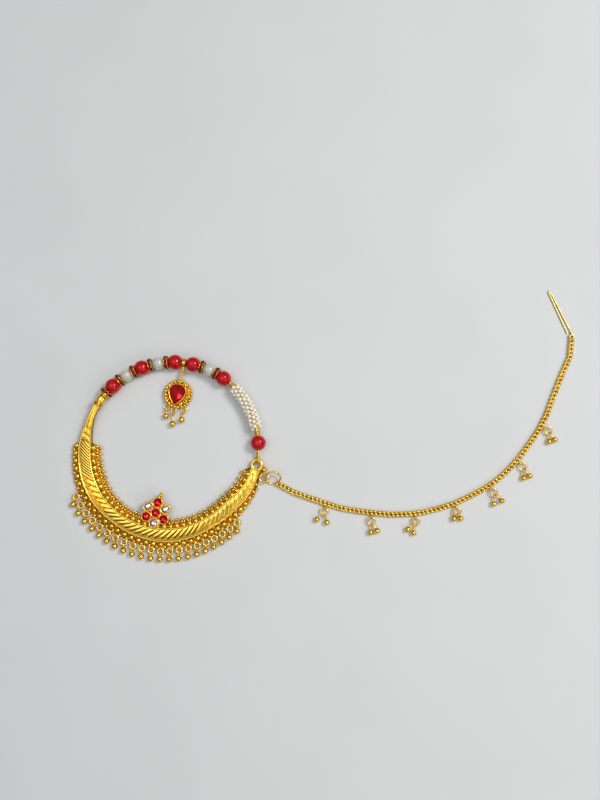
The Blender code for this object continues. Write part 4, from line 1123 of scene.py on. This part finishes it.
def leaf_cuts():
    """Each cut's zone, with the share of the arc where it starts and how much of the arc it takes."""
    zones = [dict(zip(LEAF_COLUMNS, row)) for row in LEAF_ZONES]
    arc = math.radians(crescent_angle(1.0) - crescent_angle(0.0)) * HOOP_RADIUS
    cuts = []
    for zone, following in zip(zones, [*zones[1:], {"start": LEAF_END}]):
        run = following["start"] - zone["start"]
        count = max(round(run * arc / zone["pitch"]), 1)
        for index in range(count):
            cuts.append((zone, zone["start"] + run * index / count, run / count))
    return cuts


def leaf_columns():
    """Lines across the leaf: where each lies, where it narrows to, its depth, margin and painted shade."""
    columns = []
    for step in range(LEAF_PLAIN_COLUMNS):
        columns.append((step * LEAF_PLAIN_PITCH, step * LEAF_PLAIN_PITCH, 0.0, 0.0, 0.0))
    for zone, start, pitch in leaf_cuts():
        valley = start + pitch * zone["valley"]
        end = start + pitch * zone["width"]
        columns.append((start, valley, 0.0, zone["margin"], zone["dark"]))
        columns.append((valley, valley, zone["depth"], zone["margin"], zone["dark"]))
        columns.append((end, valley, 0.0, zone["margin"], 0.0))
    return [*columns, (LEAF_END, LEAF_END, 0.0, 0.0, 0.0), (1.0, 1.0, 0.0, 0.0, 0.0)]


def leaf_point(share, t, sunk=0.0, narrow=None, margin=0.0):
    """A point of the leaf's top: t runs from the outer rail to the inner one."""
    row = section_at(share)
    opened = min(max((t - margin) / (1.0 - LEAF_MARGINS * margin), 0.0), 1.0)
    cut = math.sin(math.pi * opened)
    active = smooth((share - LEAF_ZONES[0][0]) / LEAF_FADE_IN) * smooth((LEAF_END - share) / LEAF_FADE_OUT)
    slant = mix(LEAF_ARM_SLANT, LEAF_SLANT, smooth((share - LEAF_SLANT_START) / LEAF_SLANT_RUN))
    pinch = 0.0 if narrow is None else (narrow - share) * (1.0 - cut ** LEAF_CUT_TAPER)
    top = row["foot"] + row["height"] * (RAIL_HEIGHT * RAIL_CREST + LEAF_BOW * math.sin(math.pi * t))
    top -= sunk * active * cut ** LEAF_CUT_FULLNESS
    angle = crescent_angle(share + pinch) + slant * (t - 0.5) * active
    return polar(mix(row["outer_rail"], row["inner_rail"], t), angle, top)


def crescent_leaf(bm, sizes):
    """The leaf between the rails, with slanting cuts that taper to points at both ends."""
    columns = leaf_columns()
    around_leaf = LEAF_ACROSS + 3

    def place(u, v):
        share, narrow, depth, margin, _ = columns[round(u * (len(columns) - 1))]
        side = round(v * around_leaf) % around_leaf
        if side <= LEAF_ACROSS:
            return leaf_point(share, side / LEAF_ACROSS, depth * sizes.cut_depth, narrow, margin)
        row = section_at(share)
        edge = row["inner_rail"] if side == LEAF_ACROSS + 1 else row["outer_rail"]
        height = row["foot"] + row["height"] * RAIL_HEIGHT * LEAF_FLANK_SHARE
        return polar(edge, crescent_angle(share), height)

    # Faces in the valleys of dark zones take the next finish, cut_shadow: painted shade in the cuts.
    def dark(u, v):
        inside = LEAF_DARK_FROM < v * around_leaf / LEAF_ACROSS < LEAF_DARK_TO
        return inside and columns[int(u * (len(columns) - 1))][4] > 0.5

    drape(bm, len(columns) - 1, around_leaf, place, 1, dark)
    for zone, start, pitch in leaf_cuts():
        if zone["dot"]:
            dot = leaf_point(start + pitch * LEAF_DOT_ALONG, LEAF_DOT_ACROSS)
            add_ball(bm, zone["dot"], Matrix.Translation(dot), 8, 6)


def crescent_rails(bm):
    for rail in ("inner_rail", "outer_rail"):
        points = []
        for share in shares(RAIL_STEPS):
            row = section_at(share)
            height = row["foot"] + row["height"] * RAIL_HEIGHT * RAIL_CREST
            points.append(polar(row[rail], crescent_angle(share), height))
        add_wire(bm, points, RAIL_WIRE, sides=10)


def granule_mesh(segments, rings):
    """A ball of diameter 1."""
    bm = bmesh.new()
    add_ball(bm, 1.0, Matrix.Identity(4), segments, rings)
    return small_mesh("granule", bm)


def sized(size):
    return Matrix.Diagonal((size, size, size, 1.0))


def crescent_inner_rim(bm, sizes):
    """Each unit is a domed disc by the rail, then two granules and one at the tip."""
    meshes = {"ball": granule_mesh(10, 7), "boss": granule_mesh(16, 8)}
    for unit in range(sizes.rim_units):
        share = mix(RIM_START, RIM_END, (unit + 0.5) / sizes.rim_units)
        row = section_at(share)
        angle = crescent_angle(share)
        zone = row["inner_rail"] - row["inner_tip"]
        rim = row["foot"] + RIM_HEIGHT * row["height"]
        grown = min(zone / INNER_RIM_ZONE, INNER_RIM_GROWTH) * MM
        for reach, sideways, kind, size, lift in INNER_RIM_UNIT:
            radius = row["inner_rail"] - zone * reach
            place = polar(radius, angle + math.degrees(sideways * grown / radius), rim * lift)
            stamp(bm, meshes[kind], turned(place, angle) @ sized(size * grown))


def crescent_outer_rim(bm, sizes):
    """A row of granules outside the rail, with smaller ones between and beyond them."""
    ball = granule_mesh(12, 8)
    pitch = along_hoop(OUTER_RIM_PITCH)
    count = int((crescent_angle(RIM_END) - crescent_angle(RIM_START)) / pitch)
    for way in shares(count):
        share = mix(RIM_START + OUTER_RIM_LEAD, RIM_END - OUTER_RIM_TRAIL, way)
        row = section_at(share)
        zone = row["outer_tip"] - row["outer_rail"]
        large = min(sizes.granule, zone * OUTER_RIM_FILL)
        for reach, along, size, lift in OUTER_RIM_UNIT:
            angle = crescent_angle(share) + pitch * along
            place = polar(row["outer_rail"] + zone * reach, angle, RIM_HEIGHT * row["height"] * lift)
            stamp(bm, ball, Matrix.Translation(place) @ sized(large * size))


def crescent_collar(bm):
    """Turned rings and a barrel, bent with the hoop."""
    part = turned_part([(radius * MM, -length * MM) for radius, length in COLLAR_PROFILE_MM], COLLAR_SIDES)
    for vert in part.verts:
        x, y, z = vert.co
        vert.co = polar(HOOP_RADIUS + x, COLLAR_START_ANGLE - along_hoop(z), AXIS_HEIGHT + y)
    join(bm, part, Matrix.Identity(4))


def crescent_eye(bm):
    """The end eye, the side ring for the chain and the granule between them."""
    outer = EYE_DIAMETER / 2
    hole = EYE_HOLE_DIAMETER / 2
    flank = EYE_HALF - EYE_SOFT
    profile = [
        (outer - EYE_SOFT, EYE_HALF), (outer, flank), (outer, -flank), (outer - EYE_SOFT, -EYE_HALF),
        (hole + EYE_SOFT, -EYE_HALF), (hole, -flank), (hole, flank), (hole + EYE_SOFT, EYE_HALF)]
    eye = polar(HOOP_RADIUS, EYE_ANGLE, EYE_HEIGHT)
    add_turned(bm, profile, Matrix.Translation(eye), steps=32, closed=True)
    add_ring(bm, SIDE_RING_MEAN, SIDE_RING_WIRE, Matrix.Translation(side_ring_middle()), steps=32, sides=10)
    angle = EYE_ANGLE - along_hoop(SIDE_GRANULE_BACK)
    granule = polar(HOOP_RADIUS + SIDE_GRANULE_OFFSET, angle, EYE_HEIGHT)
    add_ball(bm, SIDE_GRANULE, Matrix.Translation(granule))


def side_ring_middle():
    angle = EYE_ANGLE - along_hoop(SIDE_RING_BACK)
    return polar(HOOP_RADIUS + SIDE_RING_OFFSET, angle, SIDE_RING_HEIGHT)


def fringe_places():
    """The angle and the middle of each cast ring of the fringe."""
    places = []
    for way in shares(FRINGE_COUNT - 1):
        share = mix(FRINGE_START, FRINGE_END, way)
        radius = section_at(share)["outer_tip"] + (FRINGE_MEAN + FRINGE_WIRE) / 2 - FRINGE_SEAT
        places.append((crescent_angle(share), polar(radius, crescent_angle(share), FRINGE_HEIGHT)))
    return places


def make_crescent(sizes):
    bm = bmesh.new()
    crescent_plate(bm)
    crescent_leaf(bm, sizes)
    crescent_rails(bm)
    crescent_inner_rim(bm, sizes)
    crescent_outer_rim(bm, sizes)
    crescent_collar(bm)
    crescent_eye(bm)
    for angle, middle in fringe_places():
        add_ring(bm, FRINGE_MEAN, FRINGE_CAST_WIRE, turned(middle, angle), steps=20, sides=8)
    # Finish 2 is painted shade in the leaf's cuts and finish 3 painted shade on the recessed ground.
    finishes = ["gold_plate", "gold_plate", "cut_shadow", "shaded_ground"]
    finish_piece("crescent_cast", bm, finishes, ["crescent"], crisp=[1, 2])


# Drops


def add_ball_on_stem(bm, ball, start, place, stem, cap_mean, cap_wire, steps):
    """A ball at place on a stem from start, with a small cap ring where they meet."""
    add_ball(bm, ball, Matrix.Translation(place), 20, 12)
    add_rod(bm, start, place, stem)
    toward = (start - place).normalized()
    cap = aimed(place + toward * ball * CAP_PLACE_SHARE, toward)
    add_ring(bm, cap_mean, cap_wire, cap, steps=steps, sides=6)


def drop_mesh(ball, stem):
    """An upright eye at the origin and a ball that lies out along X, on a short neck."""
    reach = (DROP_EYE_MEAN + DROP_EYE_WIRE) / 2 + stem + ball / 2 - DROP_SINK
    place = Vector((reach, 0.0, ball / 2 - FRINGE_HEIGHT))
    start = Vector((DROP_EYE_MEAN / 2, 0.0, 0.0))
    bm = bmesh.new()
    add_ring(bm, DROP_EYE_MEAN, DROP_EYE_CAST, Matrix.Rotation(math.pi / 2, 4, "X"), steps=20, sides=8)
    add_ball_on_stem(bm, ball, start, place, DROP_STEM, DROP_CAP_MEAN, DROP_CAP_WIRE, 14)
    return small_mesh("drop", bm)


def drop_place(middle, mean, points):
    centre = middle + direction(points) * (mean / 2 + DROP_SLACK)
    return turned(centre, points)


def make_drop(name, mesh, place):
    bm = bmesh.new()
    stamp(bm, mesh, place)
    finish_piece(f"{name}_gold", bm, ["gold_plate"], [name])


# Flower and pendant


def bezel_profile(outer, wall, base, top):
    """A thin wall with a rolled lip, as (radius, height) pairs."""
    lip = wall * BEZEL_LIP_SHARE
    rolled = [(outer - wall * inward, top - lip * down) for inward, down in BEZEL_LIP]
    return [(outer, base), *rolled, (outer - wall, base)]


def flower_stones(bm, middle, stone):
    """The middle stone and its six petals, red and clear in turn, each in its bezel."""
    outer = stone / 2 + BEZEL_WALL
    top = FLOWER_BASE + BEZEL_HEIGHT
    gem = gem_mesh(stone * FLOWER_GEM_SHARE, FLOWER_GEM_HEIGHT, FLOWER_GEM_DEPTH)
    bezel = bezel_profile(outer, BEZEL_WALL, FLOWER_BASE, top)
    reach = outer - FLOWER_FLOOR_INSET
    rise = FLOWER_BASE + FLOWER_FLOOR
    floor = [(0.0, rise), (reach, rise), (reach, FLOWER_BASE), (0.0, FLOWER_BASE)]
    places = [(middle, 1)]
    for petal in range(FLOWER_PETALS):
        way = direction(FLOWER_FIRST_PETAL + 360.0 * petal / FLOWER_PETALS)
        places.append((middle + way * FLOWER_PITCH, 2 if petal % 2 else 1))
    for (place, index), turn in zip(places, FLOWER_GEM_TURNS):
        add_turned(bm, bezel, Matrix.Translation(place), 32, True)
        add_turned(bm, floor, Matrix.Translation(place), 32)
        seat = place + UP * (top - FLOWER_GEM_SINK)
        stamp(bm, gem, turned(seat, turn), index)


def flower_finial(bm, middle):
    """A bent wire that meets in a point, with granules between its sides."""
    way = direction(FINIAL_DIRECTION)
    edge = []
    for reach, sideways in FINIAL_CORNERS:
        place = middle + (way * reach + side_of(way) * sideways) * FINIAL_REACH
        edge.append(place + UP * (FLOWER_BASE + FINIAL_WIRE_RISE))
    add_wire(bm, smooth_route(edge, 13), FINIAL_WIRE, sides=8)
    for reach, sideways, size in FINIAL_GRANULES:
        place = middle + way * FINIAL_REACH * reach + side_of(way) * sideways * MM
        place.z += FLOWER_BASE + FINIAL_GRANULE_RISE
        add_ball(bm, size * MM, Matrix.Translation(place), 12, 8)


def make_flower(sizes):
    """Seven stones in thin bezels soldered to one another, with three granules up to the point."""
    middle = polar(HOOP_RADIUS - FLOWER_INSET, crescent_angle(FLOWER_PLACE))
    bm = bmesh.new()
    flower_stones(bm, middle, sizes.flower_stone)
    for petal in range(FLOWER_PETALS):
        way = direction(FLOWER_FIRST_PETAL + 360.0 * (petal + 0.5) / FLOWER_PETALS)
        place = middle + way * FLOWER_PITCH * FLOWER_GRANULE_SHARE + UP * (FLOWER_BASE + FLOWER_GRANULE_RISE)
        add_ball(bm, FLOWER_GRANULE, Matrix.Translation(place), 10, 7)
    flower_finial(bm, middle)
    finishes = ["gold_plate", "red_crystal", "clear_crystal"]
    finish_piece("flower_cluster_set", bm, finishes, ["flower_cluster"], crisp=[1, 2])


def pear_point(turn, grow=1.0):
    """A point of the teardrop's outline, whose tip is towards -Y before its tilt."""
    x = PEAR_WIDTH / 2 / PEAR_FULLEST * math.sin(turn) * math.sin(turn / 2) ** PEAR_SHARPNESS
    point = Vector((x, -PEAR_LENGTH / 2 * math.cos(turn), 0.0))
    return Matrix.Rotation(math.radians(PEAR_TILT), 3, "Z") @ point * grow


def bail_angle():
    return (node_angle("red_bead_3") + node_angle("red_bead_4")) / 2


def pendant_middle():
    return polar(HOOP_RADIUS, bail_angle()) + direction(PENDANT_DIRECTION) * PENDANT_HANG


def pear_stone(bm, middle):
    """A pear-shaped stone: long facets from the girdle up to a point above its heart."""
    part = bmesh.new()
    heart = pear_point(PEAR_HEART_TURN, PEAR_HEART_SHARE)
    for grow, rise, sides, twist in PEAR_RINGS:
        for index in range(sides):
            point = pear_point(math.tau * (index + twist) / sides, grow)
            part.verts.new(point + heart * (1.0 - grow) + UP * rise * PEAR_STONE_HEIGHT)
    part.verts.new(-UP * PEAR_STONE_DEPTH)
    wrap(part)
    join(bm, part, Matrix.Translation(middle + UP * (PEAR_BEZEL_HEIGHT - PEAR_STONE_SINK)), 1)


def pear_bezel(bm, middle):
    """A thin wall with a rolled lip, round the stone's outline."""
    corners = len(PEAR_BEZEL_SECTION)

    def place(u, v):
        share, rise = PEAR_BEZEL_SECTION[round(v * corners) % corners]
        point = pear_point(math.tau * u)
        outward = point.normalized() if point.length else Vector((0.0, -1.0, 0.0))
        height = mix(PEAR_BEZEL_FOOT, PEAR_BEZEL_HEIGHT, rise)
        return middle + point + outward * PEAR_BEZEL_WALL * share + UP * height

    drape(bm, 64, corners, place)


def pendant_relief(bm, middle):
    """Granules round the edge of the frame, larger on its left, and scrolls of wire on its right."""
    radius = PENDANT_DIAMETER / 2
    for index in range(EDGE_GRANULES):
        way = direction(360.0 * index / EDGE_GRANULES)
        size = mix(EDGE_GRANULE_SMALL, EDGE_GRANULE_LARGE, 0.5 - 0.5 * way.x) * MM
        place = middle + way * (radius - size * EDGE_GRANULE_SINK)
        place.z += PENDANT_THICKNESS * EDGE_GRANULE_LIFT
        add_ball(bm, size, Matrix.Translation(place), 12, 8)
    top = middle + UP * PENDANT_THICKNESS * RELIEF_LIFT
    for place, start, sweep, reach in SCROLLS:
        heart = top + direction(place) * PENDANT_DIAMETER * SCROLL_PLACE_SHARE
        curl = []
        for share in shares(SCROLL_STEPS):
            shrunk = reach * mix(1.0, SCROLL_END_SHARE, share) * MM
            curl.append(heart + direction(start + sweep * share) * shrunk)
        add_wire(bm, curl, SCROLL_WIRE, sides=8)
    for angle in INNER_GRANULE_ANGLES:
        place = top + direction(angle) * (radius - INNER_GRANULE_INSET)
        add_ball(bm, INNER_GRANULE, Matrix.Translation(place), 12, 8)


def pendant_bail(bm, middle):
    """A band on the hoop's wire and a long narrow loop down to the frame."""
    band = [(radius * MM, height * MM) for radius, height in BAIL_BAND_MM]
    add_turned(bm, band, on_hoop(bail_angle()), 28, True)
    top = polar(HOOP_RADIUS - BAIL_TOP, bail_angle(), AXIS_HEIGHT)
    foot = middle - direction(PENDANT_DIRECTION) * BAIL_FOOT + UP * BAIL_FOOT_RISE
    across = side_of(foot - top) * BAIL_HALF_WIDTH
    loop = []
    for step in range(BAIL_STEPS):
        turn = math.tau * step / BAIL_STEPS
        loop.append(mix(top, foot, 0.5 - 0.5 * math.cos(turn)) + across * math.sin(turn))
    add_wire(bm, loop, BAIL_WIRE, sides=8, closed=True)


def make_pendant():
    middle = pendant_middle()
    disc = PENDANT_DIAMETER / 2 - DISC_INSET
    rise = PENDANT_THICKNESS * DISC_RISE_SHARE
    plate = [
        (0.0, rise), (disc - DISC_BEVEL, rise), (disc, rise - DISC_BEVEL), (disc, DISC_FOOT),
        (0.0, DISC_FOOT)]
    bm = bmesh.new()
    # The disc under the relief takes finish 2, the recessed ground painted with shade.
    join(bm, turned_part(plate, 48), Matrix.Translation(middle), 2)
    pendant_relief(bm, middle)
    pear_bezel(bm, middle + PEAR_OFFSET)
    pear_stone(bm, middle + PEAR_OFFSET)
    pendant_bail(bm, middle)
    for drop in PENDANT_DROPS:
        ring = pendant_ring(middle, drop["seat"])
        add_ring(bm, PENDANT_RING_MEAN, PENDANT_RING_WIRE, Matrix.Translation(ring))
    finishes = ["gold_plate", "red_crystal", "shaded_ground"]
    finish_piece("pendant_set", bm, finishes, ["pendant"], crisp=[1])


def pendant_ring(middle, seat):
    outer = (PENDANT_RING_MEAN + PENDANT_RING_WIRE) / 2
    place = middle + direction(seat) * (PENDANT_DIAMETER / 2 + outer - PENDANT_RING_SEAT)
    place.z = FRINGE_HEIGHT
    return place


# Jump ring, chain, charms and hook


def jump_ring_matrix():
    middle = side_ring_middle() + Vector((JUMP_REACH, 0.0, 0.0))
    middle.z = JUMP_HEIGHT
    return Matrix.Translation(middle) @ Matrix.Rotation(math.radians(JUMP_TILT), 4, "X")


def make_jump_ring():
    bm = bmesh.new()
    add_ring(bm, JUMP_MEAN, JUMP_WIRE, jump_ring_matrix(), steps=48, sides=10)
    knot = jump_ring_matrix() @ (direction(JUMP_KNOT_ANGLE) * JUMP_MEAN / 2)
    add_ball(bm, JUMP_KNOT, Matrix.Translation(knot), 12, 8)
    finish_piece("jump_ring_wire", bm, ["gold_plate"], ["jump_ring"])


def chain_start():
    return jump_ring_matrix() @ (direction(CHAIN_LINK_ANGLE) * JUMP_MEAN / 2)


def chain_route():
    first = chain_start()
    first.z = CHAIN_DIAMETER / 2
    offsets = [Vector((x * MM, y * MM, 0.0)) for x, y in CHAIN_ROUTE_MM]
    start = first + offsets[0].normalized() * LOOP_REACH
    return smooth_route([start, *[first + offset for offset in offsets]], CHAIN_POINTS)


def charm_loop(route, share):
    point, heading = route_at(route, share)
    place = point + side_of(heading) * (CHAIN_DIAMETER / 2 + CHARM_LOOP_OFFSET)
    place.z = LOOP_HEIGHT
    return place, heading


def last_loop(route):
    heading = (route[-1] - route[-2]).normalized()
    place = route[-1] + heading * LOOP_REACH
    place.z = LOOP_HEIGHT
    return place, heading


def curb_link(wire):
    """An oval link, twisted so that its ends lie over and under its neighbours' ends."""
    half_width = (CHAIN_DIAMETER - wire) / 2 + LINK_LAP
    points = []
    for step in range(LINK_STEPS):
        turn = math.tau * step / LINK_STEPS
        reach = half_width * math.sin(turn)
        lean = LINK_TWIST * math.cos(turn)
        along = LINK_HALF_LENGTH * math.cos(turn)
        points.append(Vector((along, reach * math.cos(lean), reach * math.sin(lean))))
    bm = bmesh.new()
    add_wire(bm, points, wire, sides=6, closed=True)
    return small_mesh("curb_link", bm)


def make_chain(sizes):
    """Curb links that interlock along the route, with loops for the ring, the charms and the hook."""
    route = chain_route()
    link = curb_link(sizes.chain_wire)
    last = sizes.chain_links - 1
    bm = bmesh.new()
    for index in range(sizes.chain_links):
        point, _ = route_at(route, index / last)
        before, _ = route_at(route, max(index - 0.5, 0) / last)
        after, _ = route_at(route, min(index + 0.5, last) / last)
        heading = after - before
        point.z = CHAIN_DIAMETER * LINK_HEIGHT_SHARE
        stamp(bm, link, turned(point, math.degrees(math.atan2(heading.y, heading.x))))
    first = chain_start()
    first.z = FIRST_LOOP_HEIGHT
    end, heading = last_loop(route)
    loops = [charm_loop(route, charm["at"]) for charm in CHARMS]
    loops.extend([(end, side_of(heading)), (first, side_of(route[1] - route[0]))])
    for place, upright in loops:
        add_ring(bm, LOOP_MEAN, LOOP_WIRE, aimed(place, upright), steps=18, sides=7)
    finish_piece("chain_curb", bm, ["gold_plate"], ["chain"])


def make_charm(index, charm, route):
    """A ring flat through its loop, with two balls on wire stems that curl round the ring."""
    loop, heading = charm_loop(route, charm["at"])
    middle = loop + side_of(heading) * CHARM_MEAN / 2
    bm = bmesh.new()
    add_ring(bm, CHARM_MEAN, CHARM_WIRE, Matrix.Translation(middle), steps=28, sides=8)
    for points in charm["turns"]:
        way = direction(points)
        ball = middle + way * CHARM_REACH * charm["reach"]
        ball.z = CHARM_BALL / 2
        start = middle + way * CHARM_MEAN / 2
        add_ring(bm, CHARM_CURL_MEAN, CHARM_CURL_WIRE, aimed(start, side_of(way)), steps=14, sides=6)
        add_ball_on_stem(bm, CHARM_BALL, start, ball, CHARM_STEM, CHARM_CAP_MEAN, CHARM_CAP_WIRE, 12)
    finish_piece(f"charm_{index}_gold", bm, ["gold_plate"], [f"charm_{index}"])


def make_hair_hook():
    """A doubled wire, closed at the tip and curled into an eye at the chain."""
    loop, heading = last_loop(chain_route())
    forward = direction(HOOK_DIRECTION)
    across = side_of(forward)
    eye_radius = HOOK_EYE_MEAN / 2
    eye = loop + heading * eye_radius
    floor = Vector((eye.x, eye.y, HOOK_WIRE / 2))
    base = (HOOK_BASE_WIDTH - HOOK_WIRE) / 2
    tip = (HOOK_TIP_WIDTH - HOOK_WIRE) / 2
    straight = HOOK_LENGTH - tip
    points = []
    for share in shares(8):
        points.append(floor + forward * mix(HOOK_FREE_END, straight, share) - across * mix(base, tip, share))
    for share in shares(10)[1:-1]:
        bend = circle_point(math.pi * share, tip)
        points.append(floor + forward * (straight + bend.y) - across * bend.x)
    for share in shares(8):
        points.append(floor + forward * mix(straight, HOOK_NECK, share) + across * mix(tip, base, share))
    sweep = math.degrees(math.atan2(across.y, across.x))
    for share in shares(18):
        place = eye + direction(sweep - HOOK_EYE_TURN * share) * eye_radius
        place.z = HOOK_EYE_HEIGHT
        points.append(place)
    bm = bmesh.new()
    add_wire(bm, points, HOOK_DRAWN_WIRE, sides=10)
    finish_piece("hair_hook_wire", bm, ["pale_brass"], ["hair_hook"])


# Stage


def clear_stage():
    """Removes what isn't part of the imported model."""
    kept = {*frame["nodes"].values(), *frame["bodies"].values()}
    for item in list(bpy.data.objects):
        if item not in kept:
            bpy.data.objects.remove(item, do_unlink=True)


def add_light(name, place_mm, size_mm, power, tone):
    """A soft light aimed at the middle of the picture."""
    lamp = bpy.data.lights.new(name, "AREA")
    lamp.shape = "RECTANGLE"
    lamp.size = size_mm[0] * MM
    lamp.size_y = size_mm[1] * MM
    lamp.energy = power
    lamp.color = tone
    holder = bpy.data.objects.new(name, lamp)
    place = AIM + Vector(place_mm) * MM
    holder.matrix_world = aimed(place, place - AIM, (0.0, 1.0, 0.0))
    bpy.context.scene.collection.objects.link(holder)


def room():
    """A room that is darker low down, so that the gold has dark to mirror, and pale to the camera."""
    world = bpy.data.worlds.new("room")
    world.use_nodes = True
    tree = world.node_tree
    where = add_node(tree, "ShaderNodeTexCoord")
    height = add_node(tree, "ShaderNodeSeparateXYZ", {"Vector": where.outputs["Generated"]}).outputs["Z"]
    level = add_node(tree, "ShaderNodeMapRange", {"Value": height, **ROOM_LEVELS}).outputs["Result"]
    seen = add_node(tree, "ShaderNodeLightPath").outputs["Is Camera Ray"]
    blend = {"Factor": seen, "A": level, "B": ROOM_SEEN}
    strength = add_node(tree, "ShaderNodeMix", blend).outputs["Result"]
    background = tree.nodes["Background"]
    background.inputs["Color"].default_value = ROOM_COLOUR
    tree.links.new(strength, background.inputs["Strength"])
    return world


def make_stage():
    clear_stage()
    scene = bpy.context.scene
    bm = bmesh.new()
    bmesh.ops.create_grid(bm, x_segments=1, y_segments=1, size=TABLE_HALF)
    floor = bpy.data.objects.new("table", small_mesh("table", bm))
    floor.data.materials.append(material("table_paper"))
    scene.collection.objects.link(floor)
    for light in LIGHTS:
        add_light(*light)
    scene.world = room()
    scene.view_settings.view_transform = "Standard"
    lens = bpy.data.cameras.new("camera")
    lens.lens = CAMERA_LENS
    lens.clip_start = CAMERA_NEAR
    camera = bpy.data.objects.new("camera", lens)
    turn = math.radians(CAMERA_ELEVATION)
    offset = Vector((0.0, -math.cos(turn), math.sin(turn))) * CAMERA_DISTANCE
    camera.matrix_world = Matrix.Translation(AIM + offset) @ Matrix.Rotation(math.pi / 2 - turn, 4, "X")
    scene.collection.objects.link(camera)
    scene.camera = camera


# Operators


class NathOperator:
    bl_options = {"REGISTER", "UNDO"}


class NATH_OT_stage(NathOperator, bpy.types.Operator):
    """Sets the table, the soft lights and the camera"""
    bl_idname = "nath.stage"
    bl_label = "Stage"

    def execute(self, context):
        make_stage()
        return {"FINISHED"}


class NATH_OT_hoop_wire(NathOperator, bpy.types.Operator):
    """Draws the hoop's wire"""
    bl_idname = "nath.hoop_wire"
    bl_label = "Hoop wire"

    def execute(self, context):
        make_hoop_wire()
        return {"FINISHED"}


class NATH_OT_beads(NathOperator, bpy.types.Operator):
    """Makes the red glass beads and the pearls"""
    bl_idname = "nath.beads"
    bl_label = "Red beads and pearls"

    def execute(self, context):
        sizes = context.scene.nath_sizes
        for index in range(RED_BEADS):
            make_bead(f"red_bead_{index + 1}", sizes.red_bead, "red_glass")
        for index in range(PEARLS):
            make_bead(f"pearl_{index + 1}", sizes.pearl, "pearl")
        return {"FINISHED"}


class NATH_OT_rondelles(NathOperator, bpy.types.Operator):
    """Makes the stone-set rondelles between the beads"""
    bl_idname = "nath.rondelles"
    bl_label = "Rondelles"

    def execute(self, context):
        mesh = rondelle_mesh(context.scene.nath_sizes.rondelle)
        for index in range(RONDELLES):
            make_rondelle(f"rondelle_{index + 1}", mesh)
        return {"FINISHED"}


class NATH_OT_sleeve(NathOperator, bpy.types.Operator):
    """Makes the seed bead sleeve and the wound coils at its ends"""
    bl_idname = "nath.sleeve"
    bl_label = "Seed bead sleeve"

    def execute(self, context):
        make_seed_sleeve(context.scene.nath_sizes)
        make_coil("coil_1")
        make_coil("coil_2")
        return {"FINISHED"}


class NATH_OT_crescent(NathOperator, bpy.types.Operator):
    """Makes the cast crescent with its leaf, rims, collar, eye and fringe rings"""
    bl_idname = "nath.crescent"
    bl_label = "Crescent"

    def execute(self, context):
        make_crescent(context.scene.nath_sizes)
        return {"FINISHED"}


class NATH_OT_fringe(NathOperator, bpy.types.Operator):
    """Hangs a ball drop on each ring of the fringe"""
    bl_idname = "nath.fringe"
    bl_label = "Fringe drops"

    def execute(self, context):
        mesh = drop_mesh(DROP_BALL, 0.0)
        for index, (angle, middle) in enumerate(fringe_places(), start=1):
            points = min(max(FRINGE_LIE_DIRECTION, angle - FRINGE_SWING), angle + FRINGE_SWING)
            make_drop(f"fringe_drop_{index}", mesh, drop_place(middle, FRINGE_MEAN, points))
        return {"FINISHED"}


class NATH_OT_flower(NathOperator, bpy.types.Operator):
    """Makes the flower of seven stones"""
    bl_idname = "nath.flower"
    bl_label = "Flower"

    def execute(self, context):
        make_flower(context.scene.nath_sizes)
        return {"FINISHED"}


class NATH_OT_pendant(NathOperator, bpy.types.Operator):
    """Makes the pendant with its pear stone and its three drops"""
    bl_idname = "nath.pendant"
    bl_label = "Pendant"

    def execute(self, context):
        make_pendant()
        for index, drop in enumerate(PENDANT_DROPS, start=1):
            mesh = drop_mesh(PENDANT_BALL, PENDANT_BALL * drop["stem"])
            middle = pendant_ring(pendant_middle(), drop["seat"])
            make_drop(f"pendant_drop_{index}", mesh, drop_place(middle, PENDANT_RING_MEAN, drop["points"]))
        return {"FINISHED"}


class NATH_OT_chain(NathOperator, bpy.types.Operator):
    """Makes the jump ring, the curb chain and its charms"""
    bl_idname = "nath.chain"
    bl_label = "Chain and charms"

    def execute(self, context):
        make_jump_ring()
        make_chain(context.scene.nath_sizes)
        route = chain_route()
        for index, charm in enumerate(CHARMS, start=1):
            make_charm(index, charm, route)
        return {"FINISHED"}


class NATH_OT_hook(NathOperator, bpy.types.Operator):
    """Makes the hair hook"""
    bl_idname = "nath.hook"
    bl_label = "Hair hook"

    def execute(self, context):
        make_hair_hook()
        return {"FINISHED"}


class NATH_PT_panel(bpy.types.Panel):
    """Lists the nath's sizes, colours and steps"""
    bl_idname = "NATH_PT_panel"
    bl_label = "Nath nose ring"
    bl_space_type = "VIEW_3D"
    bl_region_type = "UI"
    bl_category = "Nath"

    def draw(self, context):
        layout = self.layout
        for group in (context.scene.nath_sizes, context.scene.nath_colours):
            for name in group.__annotations__:
                layout.prop(group, name)
        for step in STEPS:
            layout.operator(step.bl_idname)


STEPS = (
    NATH_OT_stage, NATH_OT_hoop_wire, NATH_OT_beads, NATH_OT_rondelles, NATH_OT_sleeve, NATH_OT_crescent,
    NATH_OT_fringe, NATH_OT_flower, NATH_OT_pendant, NATH_OT_chain, NATH_OT_hook,
)
CLASSES = (NathSizes, NathColours, *STEPS, NATH_PT_panel)


def register():
    for item in CLASSES:
        bpy.utils.register_class(item)
    bpy.types.Scene.nath_sizes = PointerProperty(type=NathSizes)
    bpy.types.Scene.nath_colours = PointerProperty(type=NathColours)


def unregister():
    del bpy.types.Scene.nath_sizes
    del bpy.types.Scene.nath_colours
    for item in reversed(CLASSES):
        bpy.utils.unregister_class(item)


def main():
    register()
    for step in STEPS:
        group, name = step.bl_idname.split(".")
        getattr(getattr(bpy.ops, group), name)()


if __name__ == "__main__":
    main()
